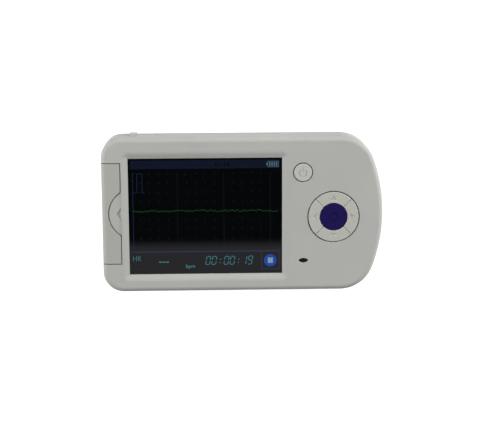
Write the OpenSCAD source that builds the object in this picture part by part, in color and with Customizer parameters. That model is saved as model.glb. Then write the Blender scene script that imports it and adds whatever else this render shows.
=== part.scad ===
// Handheld home ECG monitor, lying on its back with the screen up.
// X runs along the body towards the keys, Y across it towards the port, Z up out of the screen.
// The origin is the middle of the flat back.

/* [Body] */
// Strip between the battery end and the window
door_zone = 12.3; // [12:0.1:16]
// Strip between the window and the key end
key_zone = 46.7; // [44:0.1:56]
// Strip between the window and each long side
side_zone = 9.1; // [8.6:0.1:12]
// Thickness from the back to the front face
body_t = 20; // [20:0.1:22]
// Radius of the two corners at the battery end
corner_r = 9.4; // [8:0.2:11]
// Radius of the long arc at the key end
end_r = 74; // [70:1:90]
// Radius of the two corners at the key end
end_corner_r = 16; // [13:0.5:18]
// Rounding of the front edge
front_round = 2.8; // [2.2:0.1:3.2]
// Rounding of the back edge
back_round = 4; // [3:0.1:4.5]
// Wall of both covers
wall = 1.8; // [1.6:0.1:2]
// Height of the joint between the two covers
split_z = 7; // [6.6:0.1:7.2]

/* [Screen] */
// Width of the window opening
window_w = 70.6; // [69:0.2:71]
// Height of the window opening
window_h = 54; // [52:0.2:55]
// How far the window lies below the middle of the body
window_drop = 0.75; // [0:0.05:1.2]
// Width of the rolled edge round the window
bezel_w = 3.2; // [2.6:0.1:3.3]
// Depth of the rolled edge at the window
bezel_depth = 1.1; // [0.8:0.05:1.2]
// Thickness of the lip that holds the window lens
lip_t = 0.5; // [0.4:0.05:0.6]
// Thickness of the window lens
lens_t = 1; // [0.8:0.1:1.1]
// Border of the display beside the window, on the battery side
lcd_border = 1.9; // [1.6:0.1:2]
// Border of the display beside the window, on the key side
lcd_foot = 2.5; // [2:0.1:2.6]
// Border of the display above and below the window
lcd_band = 3.5; // [3:0.1:4]
// Thickness of the display module
lcd_t = 2.8; // [2.4:0.1:2.8]

/* [Keys] */
// Key end to the middle of the round key group
nav_end = 22.9; // [21:0.1:24]
// How far the round key group lies below the middle of the body
nav_drop = 1.35; // [0:0.05:2]
// Radius of the opening for the round key group
nav_r = 12; // [11.4:0.1:12.2]
// Radius of the blue centre key
ok_r = 6.1; // [5.8:0.1:6.4]
// Window to the middle of the power key
power_side = 9.7; // [9.7:0.1:10.5]
// Long side to the middle of the power key
power_edge = 16.6; // [15:0.1:17.5]
// Radius of the opening for the power key
power_r = 4.5; // [4:0.1:4.5]
// Gap round the keys
key_gap = 0.5; // [0.35:0.05:0.6]
// Gap between the five keys of the round group
sector_gap = 0.3; // [0.3:0.05:0.5]
// Travel of every key
key_travel = 0.5; // [0.3:0.05:0.6]
// Height of the keys over the front face
key_proud = 0.3; // [0.2:0.05:0.4]
// Depth of the symbols cut in the keys
mark_depth = 0.25; // [0.15:0.05:0.3]

/* [Sounder] */
// Window to the middle of the sound hole
sound_side = 9.9; // [9:0.1:11]
// Long side to the middle of the sound hole
sound_edge = 14.2; // [13:0.1:15]
// Length of the sound hole
sound_w = 3.9; // [3.4:0.1:4.2]
// Height of the sound hole
sound_h = 2; // [1.6:0.1:2.4]

/* [Battery door] */
// Strip between the door and the window
door_strip = 3.4; // [3.3:0.1:3.8]
// How far the middle of the door lies above the middle of the body
door_y = 0.8; // [0.6:0.1:1]
// Gap round the door
door_gap = 0.5; // [0.35:0.05:0.6]
// Radius of the thumb notch in the door
thumb_r = 11.5; // [10:0.5:13]
// How far the thumb notch reaches into the door
thumb_depth = 5.6; // [4.5:0.1:6]
// Thickness of the door's sliding tongue
tongue_t = 0.8; // [0.6:0.05:0.8]

/* [Batteries] */
// Diameter of each battery
battery_d = 10.5; // [10:0.1:10.5]
// Length of each battery with its nub
battery_l = 44.5; // [43.5:0.1:44.6]

/* [Port] */
// Length of the flap along the body
flap_l = 12; // [11:0.2:12.4]
// Height of the flap
flap_h = 4.8; // [4.2:0.1:5]
// Battery end to the end of the flap that it turns about
flap_in = 24.8; // [24:0.1:25]
// How far the pull tab stands out of the body
tab_out = 1.2; // [0.8:0.1:1.4]
// Width of the pull tab
tab_w = 3.5; // [3:0.1:4]
// Height of the pull tab
tab_h = 3.6; // [3:0.1:4]
// Rounding of the pull tab's corners
tab_round = 0.8; // [0.4:0.1:0.8]

/* [Board] */
// Thickness of the circuit board
board_t = 1.6; // [1.2:0.1:1.6]
// Height of the board's underside
board_z = 7.4; // [7.3:0.05:7.5]
// Height of a key switch body
switch_h = 3.5; // [3.2:0.1:3.5]

/* [Hidden] */
$fn = 64;

eps = 0.01;          // overlap that fuses two shapes of one piece
slip = 0.3;          // running gap between loose pieces
fit = 0.1;           // gap between pieces that locate each other
press = 0.05;        // gap round a pin in its hole

// Body outline: the key end is one long arc between two corner arcs
body_l = door_zone + window_w + key_zone;
body_w = window_h + 2 * side_zone;
half_w = body_w / 2;
left_x = -body_l / 2;
end_cx = body_l / 2 - end_r;
end_run = sqrt(pow(end_r - end_corner_r, 2) - pow(half_w - end_corner_r, 2));
end_corner_x = end_cx + end_run;
end_angle = atan2(half_w - end_corner_r, end_run);
inner_top = body_t - wall;
round_steps = 5;
lip_h = 1.2;         // locating lip of the rear cover
line_h = 0.4;        // shadow line between the covers
line_depth = 0.35;

// Screen stack, from the lens down
window_x = left_x + door_zone + window_w / 2;
window_y = -window_drop;
window_end = window_x + window_w / 2;
lens_top = body_t - bezel_depth - lip_t;
lens_z = lens_top - lens_t;
lens_margin = 2;
gasket_t = 0.3;
gasket_z = lens_z - gasket_t;
panel_t = 1.3;
panel_z = gasket_z - panel_t;
lcd_z = gasket_z - lcd_t;
lcd_x0 = window_x - window_w / 2 - lcd_border;
lcd_x1 = window_end + lcd_foot;
lcd_y0 = window_y - window_h / 2 - lcd_band;
lcd_y1 = window_y + window_h / 2 + lcd_band;
carrier_t = 0.6;
carrier_z = lcd_z - carrier_t;
carrier_rim = 0.7;
leg_r = 1.2;
leg_in = 9;          // legs from the ends of the board's display area
leg_y = 20;
ribbon_w = 12;
ribbon_in = 20.6;    // middle of the ribbon from the display's key end
ribbon_x = lcd_x1 - ribbon_in;
socket_l = 3.5;
socket_h = 2;
ribbon_t = 0.2;
ribbon_out = 1.3;    // how far the ribbon loops out beside the display
ribbon_ledge = 2;

// Rolled edge: an arc that starts level with the front face
roll_a = 2 * atan(bezel_depth / bezel_w);
roll_r = bezel_w / sin(roll_a);
roll_steps = 6;

// Board, switches and keypad
board_top = board_z + board_t;
board_inset = wall + 0.8;
switch_top = board_top + switch_h;
switch_size = 6;
nav_x = body_l / 2 - nav_end;
nav_y = -nav_drop;
power_x = window_end + power_side;
power_y = half_w - power_edge;
actuator_r = 1.6;
actuator_h = 0.8;
actuator_top = switch_top + actuator_h;
mat_t = 0.8;
mat_z = actuator_top + slip;
mat_top = mat_z + mat_t;
plunger_r = 1.4;
rib_t = 0.9;
flange_t = 1;
flange_out = 0.7;
flange_top = inner_top - slip;
flange_z = flange_top - flange_t;
ok_flange_t = 0.8;
ok_flange_top = flange_z - key_travel - slip;
ok_flange_z = ok_flange_top - ok_flange_t;
nav_key_out = nav_r - key_gap;
nav_key_in = ok_r + sector_gap;
nav_rib_r = nav_r + flange_out + slip;
nav_switch_r = (nav_key_out + nav_key_in) / 2;
power_flange_r = power_r + 0.5;
power_rib_r = power_flange_r + slip;
key_top = body_t + key_proud;
key_round = 0.35;
nav_mark = [7.8, 2, 3.5];        // base radius, height and width of the arrows
ok_mark = 2.5;                   // half diagonal of the diamond
mark_line = 0.4;
standby_r = 1.5;

// Battery bay: both cells lie across the body
battery_r = battery_d / 2;
nub_r = 2.6;
nub_h = 1;
bay_half = battery_l / 2 + 1.15;
bay_wall = 1.2;
battery_z = wall + fit + battery_r;
battery_x1 = left_x + wall + 0.55 + battery_r;
battery_x2 = battery_x1 + battery_d + slip;
bay_x1 = battery_x2 + battery_r + slip;
bay_top = carrier_z - fit;
cradle_x = 3.6;
cradle_t = 0.8;
plate_t = 0.3;
plate_w = 8;
plate_h = 8.4;
tail_w = 1.2;
tail_xs = [battery_x1 + plate_w / 2 - 0.2, bay_x1 - tail_w / 2 - fit];
bay_outer = bay_half + bay_wall;
wire_r = 0.25;
coil_sides = 6;
coil_steps = 12;

// Battery door
door_x = left_x + door_zone - door_strip;
door_w = 2 * bay_half + 0.7;
door_bottom = wall + 0.7;
tongue_end = bay_x1 - 1;
door_half = bay_half - slip;
tongue_z = battery_z + battery_r + 0.25;
rail_h = 0.8;
rail_w = 1.1;
thumb_cx = door_x + thumb_r - thumb_depth;
thumb_sink = 0.25;
arrow_w = 2.2;
arrow_h = 5.4;

// Case screws, posts and standoffs
post_r = 2.9;
tower_r = 3.4;
screw_r = 1;
head_r = 2.1;
head_t = 1.4;
bore_depth = 2.2;
screw_end = 13;
post_in = 5.5;       // left posts from the battery end
post_edge = 8.1;     // right posts from the long sides
posts = concat([for (side = [-1, 1]) [left_x + post_in, (side * (bay_outer + half_w - wall) + door_y) / 2]],
    [for (side = [-1, 1]) [end_corner_x + 0.6, side * (half_w - post_edge)]]);
board_x0 = bay_x1 + bay_wall + slip;
standoff_r = 2.6;
standoff_edge = 8.6;
standoffs = [for (x = [board_x0 + 4.3, lcd_x1 - 6.6], side = [-1, 1]) [x, side * (half_w - standoff_edge)]];
board_screw_r = 0.8;
board_screw_l = 4;
board_head_r = 1.5;
board_head_t = 0.9;

// Port and flap on the long side
flap_t = 1;
flap_z = split_z + lip_h + 0.45;
flap_x = left_x + flap_in;
flap_x0 = flap_x - flap_l;
bead_r = 0.35;
port_w = 7.4;
port_h = 2.8;
port_l = 4.9;
port_wall = 0.35;
port_x = flap_x - flap_l / 2;
port_mouth = half_w - wall - 0.8;
arm_y = door_y + bay_outer + 1.6;     // inner edge of the board's arm beside the batteries

// Parts on the board: middle x, middle y, size x, size y
shield_in = 15.3;    // middle of the shield from the board's battery end
chips_in = 20.6;     // middle of the chips from the display's key end
small_in = 12.1;
shield_at = [board_x0 + shield_in, 0, 20, 26];
processor_at = [lcd_x1 - chips_in, 8, 10, 10];
memory_at = [lcd_x1 - chips_in, -10, 8, 6];
crystal_at = [lcd_x1 - chips_in, -2, 5, 2.2];
small_at = [lcd_x1 - small_in, -12];
small_step = [2.8, 4];
small_size = [1.6, 0.8, 0.6];
shield_h = 2.4;
shield_t = 0.3;
chip_h = 1;

// Sound path
sound_x = window_end + sound_side;
sound_y = sound_edge - half_w;
chimney_r = 3.2;
chimney_in = 2.5;
chimney_h = 4;
sounder_r = 5.5;
sounder_h = 4.5;
mesh_t = 0.3;

// Electrodes and label on the back: middle x, middle y, size x, size y
palm_in = 17.3;      // middle of the palm electrode from the board's battery end
finger_end = 20.8;   // middle of the finger electrodes from the key end
finger_y = 10.5;
label_end = 48.8;    // middle of the label from the key end
palm_at = [board_x0 + palm_in, 0, 16, 40];
index_at = [body_l / 2 - finger_end, finger_y, 22, 16];
middle_at = [body_l / 2 - finger_end, -finger_y, 22, 16];
label_at = [body_l / 2 - label_end, 0, 26, 28];
electrode_t = 0.5;
electrode_r = 3;
rivet_r = 1.5;
rivet_top = wall + 1.8;
sunk = 0.1;          // electrodes and label lie this far inside the back
label_t = 0.15;
label_r = 1.5;

// ---- Shapes that repeat ----

function arc(c, r, a0, a1, n) = [for (i = [0:n]) let (a = a0 + (a1 - a0) * i / n)
    [c[0] + r * cos(a), c[1] + r * sin(a)]];

// Body outline drawn in by inset, anticlockwise from the start of the long arc
function body_line(inset) = let (top = half_w - end_corner_r, left = [left_x + corner_r, half_w - corner_r],
        long_arc = arc([end_cx, 0], end_r - inset, -end_angle, end_angle, 16))
    concat([for (i = [1:15]) long_arc[i]],
        arc([end_corner_x, top], end_corner_r - inset, end_angle, 90, 12),
        arc(left, corner_r - inset, 90, 180, 12),
        arc([left[0], -left[1]], corner_r - inset, 180, 270, 12),
        arc([end_corner_x, -top], end_corner_r - inset, 270, 360 - end_angle, 12));

// Closed skin through a list of rings, each anticlockwise when seen from the last one
module loft(rings) {
    n = len(rings[0]);
    last = len(rings) - 1;
    sides = [for (i = [0:last - 1], k = [0:n - 1]) let (a = i * n + k, b = i * n + (k + 1) % n)
        each [[a, a + n, b + n], [a, b + n, b]]];
    ends = [[for (k = [0:n - 1]) k], [for (k = [n - 1:-1:0]) last * n + k]];
    polyhedron([for (ring = rings) each ring], concat(sides, ends), convexity = 6);
}

function raised(line, z) = [for (p = line) [p[0], p[1], z]];

module outer_body() loft(concat(
    [for (k = [0:round_steps]) let (a = 90 * k / round_steps)
        raised(body_line(back_round * (1 - sin(a))), back_round * (1 - cos(a)))],
    [for (k = [0:round_steps]) let (a = 90 * k / round_steps)
        raised(body_line(front_round * (1 - cos(a))), body_t - front_round * (1 - sin(a)))]));

// Upright-walled solid of the body outline
module outline(inset, z0, z1) translate([0, 0, z0]) linear_extrude(z1 - z0) polygon(body_line(inset));

module inner_body() outline(wall, wall, inner_top);

// A slab that covers the whole body in plan
module slab(z0, z1) translate([-body_l, -body_w, z0]) cube([2 * body_l, 2 * body_w, z1 - z0]);

module box(x0, x1, y0, y1, z0, z1) translate([x0, y0, z0]) cube([x1 - x0, y1 - y0, z1 - z0]);

module post(at, r, z0, z1) translate([at[0], at[1], z0]) cylinder(r = r, h = z1 - z0);

module ring(at, r, t, z0, z1) difference() {
    post(at, r + t, z0, z1);
    post(at, r, z0 - 1, z1 + 1);
}

// Plate with round corners; at gives its middle and its two sizes
module round_plate(at, r, z0, z1, grow = 0) {
    w = at[2] / 2 + grow;
    h = at[3] / 2 + grow;
    translate([at[0], at[1], 0]) {
        box(-w, w, -h + r, h - r, z0, z1);
        box(-w + r, w - r, -h, h, z0, z1);
        for (sx = [-1, 1], sy = [-1, 1]) post([sx * (w - r), sy * (h - r)], r, z0, z1);
    }
}

// Coiled wire standing on z = 0, whose radius runs from r0 to r1
module coil(r0, r1, turns, h) {
    steps = turns * coil_steps;
    loft([for (i = [0:steps]) let (a = 360 * turns * i / steps, z = wire_r + (h - 2 * wire_r) * i / steps)
        [for (j = [0:coil_sides - 1])
            let (b = 360 * j / coil_sides, r = r0 + (r1 - r0) * i / steps + wire_r * cos(b))
            [r * cos(a), r * sin(a), z - wire_r * sin(b)]]]);
}

// Triangle that points along +X, for the arrows
module arrow(base, h, w, z0, z1) translate([0, 0, z0]) linear_extrude(z1 - z0)
    polygon([[base, -w / 2], [base + h, 0], [base, w / 2]]);

// ---- Covers ----

// Space of the battery door, grown by g on every open side
module door_space(g) translate([0, 0, door_bottom - g]) linear_extrude(body_t) difference() {
    translate([-body_l, door_y - door_w / 2 - g]) square([body_l + door_x + g, door_w + 2 * g]);
    translate([thumb_cx, door_y]) circle(thumb_r - g);
}

// Section across the window: the opening's floor and a rolled edge on both sides
module roll_section(half) {
    edge = [for (i = [0:roll_steps]) let (a = roll_a * i / roll_steps)
        [half + bezel_w - roll_r * sin(a), body_t - roll_r * (1 - cos(a))]];
    top = [[half + bezel_w, body_t + 1]];
    right = concat(top, edge);
    left = [for (i = [len(right) - 1:-1:0]) [-right[i][0], right[i][1]]];
    polygon(concat(right, left));
}

module window_cut() {
    reach = 2 * (window_w + bezel_w);
    translate([window_x, window_y, 0]) {
        intersection() {
            translate([-reach / 2, 0, 0]) rotate([90, 0, 90]) linear_extrude(reach)
                roll_section(window_h / 2);
            translate([0, reach / 2, 0]) rotate([90, 0, 0]) linear_extrude(reach) roll_section(window_w / 2);
        }
        box(-window_w / 2, window_w / 2, -window_h / 2, window_h / 2, inner_top - 1, body_t + 1);
        lens_seat(fit, inner_top - 1, lens_top);
    }
}

module lens_seat(g, z0, z1)
    round_plate([0, 0, window_w + 2 * lens_margin, window_h + 2 * lens_margin], 1, z0, z1, g);

module sound_hole() translate([sound_x, sound_y, inner_top - 1]) linear_extrude(wall + 2)
    scale_circle(sound_w / 2, sound_h / 2);

module scale_circle(a, b) polygon([for (t = [0:12:348]) [a * cos(t), b * sin(t)]]);

module flap_seat() {
    box(flap_x0 - 0.25, flap_x + bead_r + 0.15, half_w - flap_t - 0.15, half_w + 1, flap_z - 0.2,
        flap_z + flap_h + 0.2);
    box(port_x - port_w / 2 - 0.5, port_x + port_w / 2 + 0.5, half_w - wall - 1, half_w, board_top - 0.1,
        board_top + port_h + slip);
}

module front_cover() color("#abaca7") difference() {
    union() {
        difference() {
            outer_body();
            inner_body();
            slab(-1, split_z);
            outline(wall / 2, split_z - 1, split_z + lip_h + 0.2);
        }
        for (p = posts) post(p, post_r, board_z, inner_top + eps);
        ring([nav_x, nav_y], nav_rib_r, rib_t, mat_top, inner_top + eps);
        ring([power_x, power_y], power_rib_r, rib_t, mat_top, inner_top + eps);
        ring([sound_x, sound_y], chimney_in, chimney_r - chimney_in, inner_top - chimney_h, inner_top + eps);
    }
    window_cut();
    door_space(0);
    post([nav_x, nav_y], nav_r, inner_top - 1, body_t + 1);
    post([power_x, power_y], power_r, inner_top - 1, body_t + 1);
    sound_hole();
    for (p = posts) post(p, screw_r + press, board_z - 1, screw_end + slip);
    // thumb rest: slightly sunk, with an arrow that points the way the door slides
    intersection() {
        post([thumb_cx, door_y], thumb_r + 1, body_t - thumb_sink, body_t + 1);
        box(left_x, door_x, -half_w, half_w, 0, body_t + 1);
    }
    translate([door_x, door_y, 0]) rotate(180)
        arrow(0, arrow_w, arrow_h, body_t - thumb_sink - mark_depth, body_t);
    flap_seat();
}

module rear_cover() color("#9a9b99") difference() {
    union() {
        difference() {
            outer_body();
            inner_body();
            slab(split_z, body_t + 1);
            difference() {
                slab(split_z - line_h, split_z + 1);
                outline(line_depth, 0, body_t);
            }
        }
        difference() {
            outline(wall / 2 + fit, split_z - 1, split_z + lip_h);
            outline(wall, 0, body_t);
        }
        for (p = posts) post(p, tower_r, wall - slip, board_z);
        for (p = standoffs) post(p, standoff_r, wall - eps, board_z);
        battery_bay();
    }
    door_space(0);
    for (p = posts) {
        post(p, head_r + slip, -1, bore_depth);
        post(p, screw_r + 0.2, 0, board_z + 1);
        post(p, post_r + fit, board_z, body_t);
    }
    for (p = standoffs) post(p, board_screw_r + press, board_z - board_screw_l - slip, board_z + 1);
    for (e = [palm_at, index_at, middle_at]) {
        round_plate(e, electrode_r, -1, electrode_t + sunk, fit);
        post(e, rivet_r + press, -1, wall + 1);
    }
    round_plate(label_at, label_r, -1, label_t + sunk, fit);
}

// Walls, cell cradles and door rails of the battery bay
module battery_bay() difference() {
    union() {
        for (side = [-1, 1]) {
            y = door_y + side * bay_half;
            out = y + side * bay_wall;
            in = y - side * rail_w;
            box(left_x + wall + 0.4, bay_x1 + bay_wall, min(y, out), max(y, out), wall - eps, bay_top);
            box(left_x + wall + 0.4, bay_x1 + eps, min(y, in), max(y, in), tongue_z - slip - rail_h,
                tongue_z - slip);
        }
        box(bay_x1, bay_x1 + bay_wall, door_y - bay_half - eps, door_y + bay_half + eps, wall - eps, bay_top);
        for (x = [battery_x1, battery_x2], side = [-1, 1]) translate([x + side * cradle_x, door_y, 0])
            box(-cradle_t / 2, cradle_t / 2, -12, 12, wall - eps,
                battery_z - sqrt(pow(battery_r + fit, 2) - pow(cradle_x - cradle_t / 2, 2)));
    }
    for (x = tail_xs) box(x - tail_w / 2 - slip, x + tail_w / 2 + slip, door_y + bay_half - rail_w,
        door_y + bay_half + bay_wall + 1, board_top - fit, board_top + plate_t + slip);
}

module battery_door() color("#a5a59f") {
    difference() {
        outer_body();
        inner_body();
        // keep only what lies in the door's own space
        difference() {
            slab(-1, body_t + 1);
            door_space(-door_gap);
        }
    }
    end_in = left_x + wall - eps;
    box(end_in, tongue_end, door_y - door_half, door_y + door_half, tongue_z, tongue_z + tongue_t);
    for (side = [-1, 1]) {
        y = door_y + side * (door_half - wall / 2);
        box(end_in, door_x - door_gap, y - wall / 2, y + wall / 2, tongue_z, inner_top + eps);
    }
}

// ---- Screen ----

module window_lens() color("#101216") translate([window_x, window_y, 0]) lens_seat(0, lens_z, lens_top);

module lens_gasket() color("#1a1a1a") translate([window_x, window_y, 0]) difference() {
    lens_seat(0, gasket_z, lens_z);
    translate([0, 0, gasket_z]) cube([window_w + 1, window_h + 1, 4 * gasket_t], center = true);
}

module lcd_panel() color("#08090b") box(lcd_x0, lcd_x1, lcd_y0, lcd_y1, panel_z, gasket_z);

module lcd_backlight() color("#d8d8d4") box(lcd_x0, lcd_x1, lcd_y0 + ribbon_ledge, lcd_y1, lcd_z, panel_z);

// Tray that holds the display and stands on the board and the battery bay
module display_carrier() color("#c8c8c4") difference() {
    union() {
        box(lcd_x0 - fit - carrier_rim, lcd_x1 + fit + carrier_rim, lcd_y0 - fit - carrier_rim,
            lcd_y1 + fit + carrier_rim, carrier_z, panel_z + panel_t / 2);
        for (x = [board_x0 + leg_in, lcd_x1 - leg_in], y = [-leg_y, leg_y])
            post([x, y], leg_r, board_top, carrier_z + eps);
    }
    box(lcd_x0 - fit, lcd_x1 + fit, lcd_y0 - fit, lcd_y1 + fit, lcd_z, body_t);
    box(ribbon_x - ribbon_w / 2 - 0.5, ribbon_x + ribbon_w / 2 + 0.5, lcd_y0 - ribbon_out - 1,
        lcd_y0 + ribbon_ledge, carrier_z - 1, body_t);
}

// Flat cable: out from under the display's edge, down, and back in to its socket
module display_ribbon() color("#b8742a") {
    high = panel_z;
    low = board_top + 1;
    out = lcd_y0 - ribbon_out;
    translate([ribbon_x + ribbon_w / 2, 0, 0]) rotate([90, 0, -90]) linear_extrude(ribbon_w) intersection() {
        difference() {
            round_rect(-lcd_y1, -out, low, high, 1);
            round_rect(-lcd_y1, -out - ribbon_t, low + ribbon_t, high - ribbon_t, 0.8);
        }
        union() {
            translate([-lcd_y0 - ribbon_ledge + fit, low + ribbon_t]) square([2 * ribbon_ledge, high - low]);
            translate([-lcd_y0 - socket_l + 0.5, low]) square([2 * socket_l, 2 * ribbon_t]);
        }
    }
}

// Rectangle with round corners in the drawing plane
module round_rect(x0, x1, y0, y1, r) {
    translate([x0 + r, y0]) square([x1 - x0 - 2 * r, y1 - y0]);
    translate([x0, y0 + r]) square([x1 - x0, y1 - y0 - 2 * r]);
    for (x = [x0 + r, x1 - r], y = [y0 + r, y1 - r]) translate([x, y]) circle(r);
}

module ribbon_socket() color("#e6e2d6") translate([ribbon_x, lcd_y0 + ribbon_ledge, board_top]) difference() {
    box(-ribbon_w / 2 - 1.5, ribbon_w / 2 + 1.5, 0, socket_l, 0, socket_h);
    box(-ribbon_w / 2 - fit, ribbon_w / 2 + fit, -1, socket_l / 3, socket_h / 2 - fit,
        socket_h / 2 + ribbon_t + fit);
}

// ---- Board ----

module main_board() color("#1d5a38") difference() {
    outline(board_inset, board_z, board_top);
    box(-body_l, board_x0, -body_w, arm_y, 0, body_t);
    box(-body_l, flap_x0 - 2, -body_w, body_w, 0, body_t);
    for (p = posts) post(p, tower_r + slip, 0, body_t);
    for (p = standoffs) post(p, board_screw_r + fit, 0, body_t);
}

// Block on the board; at gives its middle and its two sizes
module block(at, z0, z1, grow = 0) box(at[0] - at[2] / 2 - grow, at[0] + at[2] / 2 + grow,
    at[1] - at[3] / 2 - grow, at[1] + at[3] / 2 + grow, z0, z1);

module signal_shield() color("#b9bcbe") difference() {
    block(shield_at, board_top, board_top + shield_h);
    block(shield_at, board_top - 1, board_top + shield_h - shield_t, -shield_t);
}

module processor_chip() color("#1c1c1e") block(processor_at, board_top, board_top + chip_h);

module memory_chip() color("#1c1c1e") block(memory_at, board_top, board_top + chip_h);

module clock_crystal() color("#c9c9c9") round_plate(crystal_at, 1, board_top, board_top + chip_h);

// Resistors and capacitors in rows between the larger parts
module small_components() color("#7a5a3c") for (i = [0:3], j = [0:6])
    translate([small_at[0] + small_step[0] * i, small_at[1] + small_step[1] * j, board_top]) cube(small_size);

module data_port() color("#b4b6b8") translate([port_x, port_mouth - port_l, board_top]) {
    difference() {
        box(-port_w / 2, port_w / 2, 0, port_l, 0, port_h);
        box(-port_w / 2 + port_wall, port_w / 2 - port_wall, port_wall, port_l + 1, port_wall,
            port_h - port_wall);
    }
    box(-port_w / 2 + 1.2, port_w / 2 - 1.2, 0.1, port_l - 1, port_h / 2 - 0.3, port_h / 2 + 0.3);
}

// Soft flap that turns about the upright bead at its end
module port_flap() color("#a3a49f") {
    box(flap_x0, flap_x, half_w - flap_t, half_w, flap_z, flap_z + flap_h);
    post([flap_x, half_w - bead_r], bead_r, flap_z, flap_z + flap_h);
    // plug that closes the port
    box(port_x - port_w / 2 + 0.5, port_x + port_w / 2 - 0.5, port_mouth + 0.4, half_w - flap_t + eps,
        board_top + 0.4, board_top + port_h - 0.3);
    // pull tab at the free end
    translate([flap_x0 + 0.2, half_w, flap_z + (flap_h - tab_h) / 2]) {
        box(0, tab_w, -eps, tab_out - tab_round, 0, tab_h);
        box(tab_round, tab_w - tab_round, -eps, tab_out, 0, tab_h);
        for (x = [tab_round, tab_w - tab_round]) post([x, tab_out - tab_round], tab_round, 0, tab_h);
    }
}

// ---- Keys ----

// Wedge of a quarter turn about +X, less half of the gap on both sides
module quarter() linear_extrude(body_t + 1) polygon([[sector_gap / sqrt(2), 0],
    [2 * nav_r, 2 * nav_r - sector_gap / sqrt(2)], [2 * nav_r, -2 * nav_r + sector_gap / sqrt(2)]]);

// Section of a key top between radius r0 and r1, with its outer edges rounded
module key_section(r0, r1, z0) {
    translate([r0, z0]) square([r1 - r0, key_top - key_round - z0]);
    round0 = r0 > 0 ? key_round : 0;
    translate([r0 + round0, key_top - key_round - eps])
        square([r1 - r0 - round0 - key_round, key_round + eps]);
    translate([r1 - key_round, key_top - key_round]) circle(key_round);
    if (r0 > 0) translate([r0 + key_round, key_top - key_round]) circle(key_round);
}

module nav_key(angle) color("#aaaaa4") translate([nav_x, nav_y, 0]) rotate(angle) difference() {
    intersection() {
        rotate_extrude() {
            key_section(nav_key_in, nav_key_out, flange_z);
            translate([nav_key_in, flange_z]) square([nav_r + flange_out - nav_key_in, flange_t]);
        }
        quarter();
    }
    arrow(nav_mark[0], nav_mark[1], nav_mark[2], key_top - mark_depth, key_top + 1);
}

module right_key() nav_key(0);
module up_key() nav_key(90);
module left_key() nav_key(180);
module down_key() nav_key(270);

module ok_key() color("#1e194f") translate([nav_x, nav_y, 0]) difference() {
    rotate_extrude() {
        key_section(0, ok_r, ok_flange_z);
        translate([0, ok_flange_z]) square([nav_key_in + 0.7, ok_flange_t]);
    }
    translate([0, 0, key_top - mark_depth]) linear_extrude(1) difference() {
        rotate(45) square(ok_mark * sqrt(2), center = true);
        rotate(45) square((ok_mark - mark_line) * sqrt(2), center = true);
    }
}

module power_key() color("#b0b0a9") translate([power_x, power_y, 0]) difference() {
    rotate_extrude() {
        key_section(0, power_r - key_gap, flange_z);
        translate([0, flange_z]) square([power_flange_r, flange_t]);
    }
    translate([0, 0, key_top - mark_depth]) linear_extrude(1) {
        difference() {
            circle(standby_r);
            circle(standby_r - mark_line);
            translate([-0.6, 0]) square([1.2, standby_r + 1]);
        }
        translate([-mark_line / 2, 0.1]) square([mark_line, standby_r]);
    }
}

// Soft post between a key and its switch; under_z is the underside of the key
module plunger(at, under_z) color("#8d8f8e") post(at, plunger_r, actuator_top, under_z);

module actuator(at) color("#2a2a2a") post(at, actuator_r, switch_top - actuator_h, actuator_top);

function nav_at(angle) = [nav_x + nav_switch_r * cos(angle), nav_y + nav_switch_r * sin(angle)];
power_at = [power_x, power_y];
ok_at = [nav_x, nav_y];
switch_places = concat([power_at, ok_at], [for (angle = [0:90:270]) nav_at(angle)]);

module power_plunger() plunger(power_at, flange_z);
module ok_plunger() plunger(ok_at, ok_flange_z);
module right_plunger() plunger(nav_at(0), flange_z);
module up_plunger() plunger(nav_at(90), flange_z);
module left_plunger() plunger(nav_at(180), flange_z);
module down_plunger() plunger(nav_at(270), flange_z);
module power_actuator() actuator(power_at);
module ok_actuator() actuator(ok_at);
module right_actuator() actuator(nav_at(0));
module up_actuator() actuator(nav_at(90));
module left_actuator() actuator(nav_at(180));
module down_actuator() actuator(nav_at(270));

// Soft sheet that the plungers pass through; it seats against the ribs of the front cover
module keypad_mat() color("#8d8f8e") difference() {
    union() {
        post(ok_at, nav_rib_r + rib_t, mat_z, mat_top);
        post(power_at, power_rib_r + rib_t, mat_z, mat_top);
        translate([power_x, power_y, mat_z]) rotate(atan2(nav_y - power_y, nav_x - power_x))
            translate([0, -4, 0]) cube([norm(ok_at - power_at), 8, mat_t]);
    }
    for (p = switch_places) post(p, plunger_r + slip, 0, body_t);
}

module key_switches() color("#3a3a3c") for (p = switch_places) difference() {
    block([p[0], p[1], switch_size, switch_size], board_top, switch_top);
    post(p, actuator_r + 0.15, switch_top - actuator_h - key_travel - slip, body_t);
}

// ---- Sound ----

module sounder() color("#202022") difference() {
    post([sound_x, sound_y], sounder_r, board_top, board_top + sounder_h);
    post([sound_x, sound_y], 1, board_top + 1, body_t);
}

module sounder_seal() color("#3c3c3e") ring([sound_x, sound_y], 1.8, 2.2, board_top + sounder_h,
    inner_top - chimney_h);

module sound_mesh() color("#0c0c0d") difference() {
    post([sound_x, sound_y], chimney_in - fit, inner_top - mesh_t, inner_top);
    for (i = [-3:3], j = [-3:3]) if (norm([i, j]) < 3.3)
        post([sound_x + 0.62 * i, sound_y + 0.62 * j], 0.2, inner_top - 1, body_t);
}

// ---- Batteries and their contacts ----

// Cell with its flat end at y = 0 and its nub towards +Y
module battery() rotate([-90, 0, 0]) {
    cylinder(r = battery_r, h = battery_l - nub_h);
    cylinder(r = nub_r, h = battery_l);
}

cell_start = -(bay_half - plate_t) + (2 * (bay_half - plate_t) - battery_l);

module battery_front() color("#3d6f52") translate([battery_x1, door_y + cell_start, battery_z]) battery();
module battery_rear() color("#3d6f52") translate([battery_x2, door_y - cell_start, battery_z])
    mirror([0, 1, 0]) battery();

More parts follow.
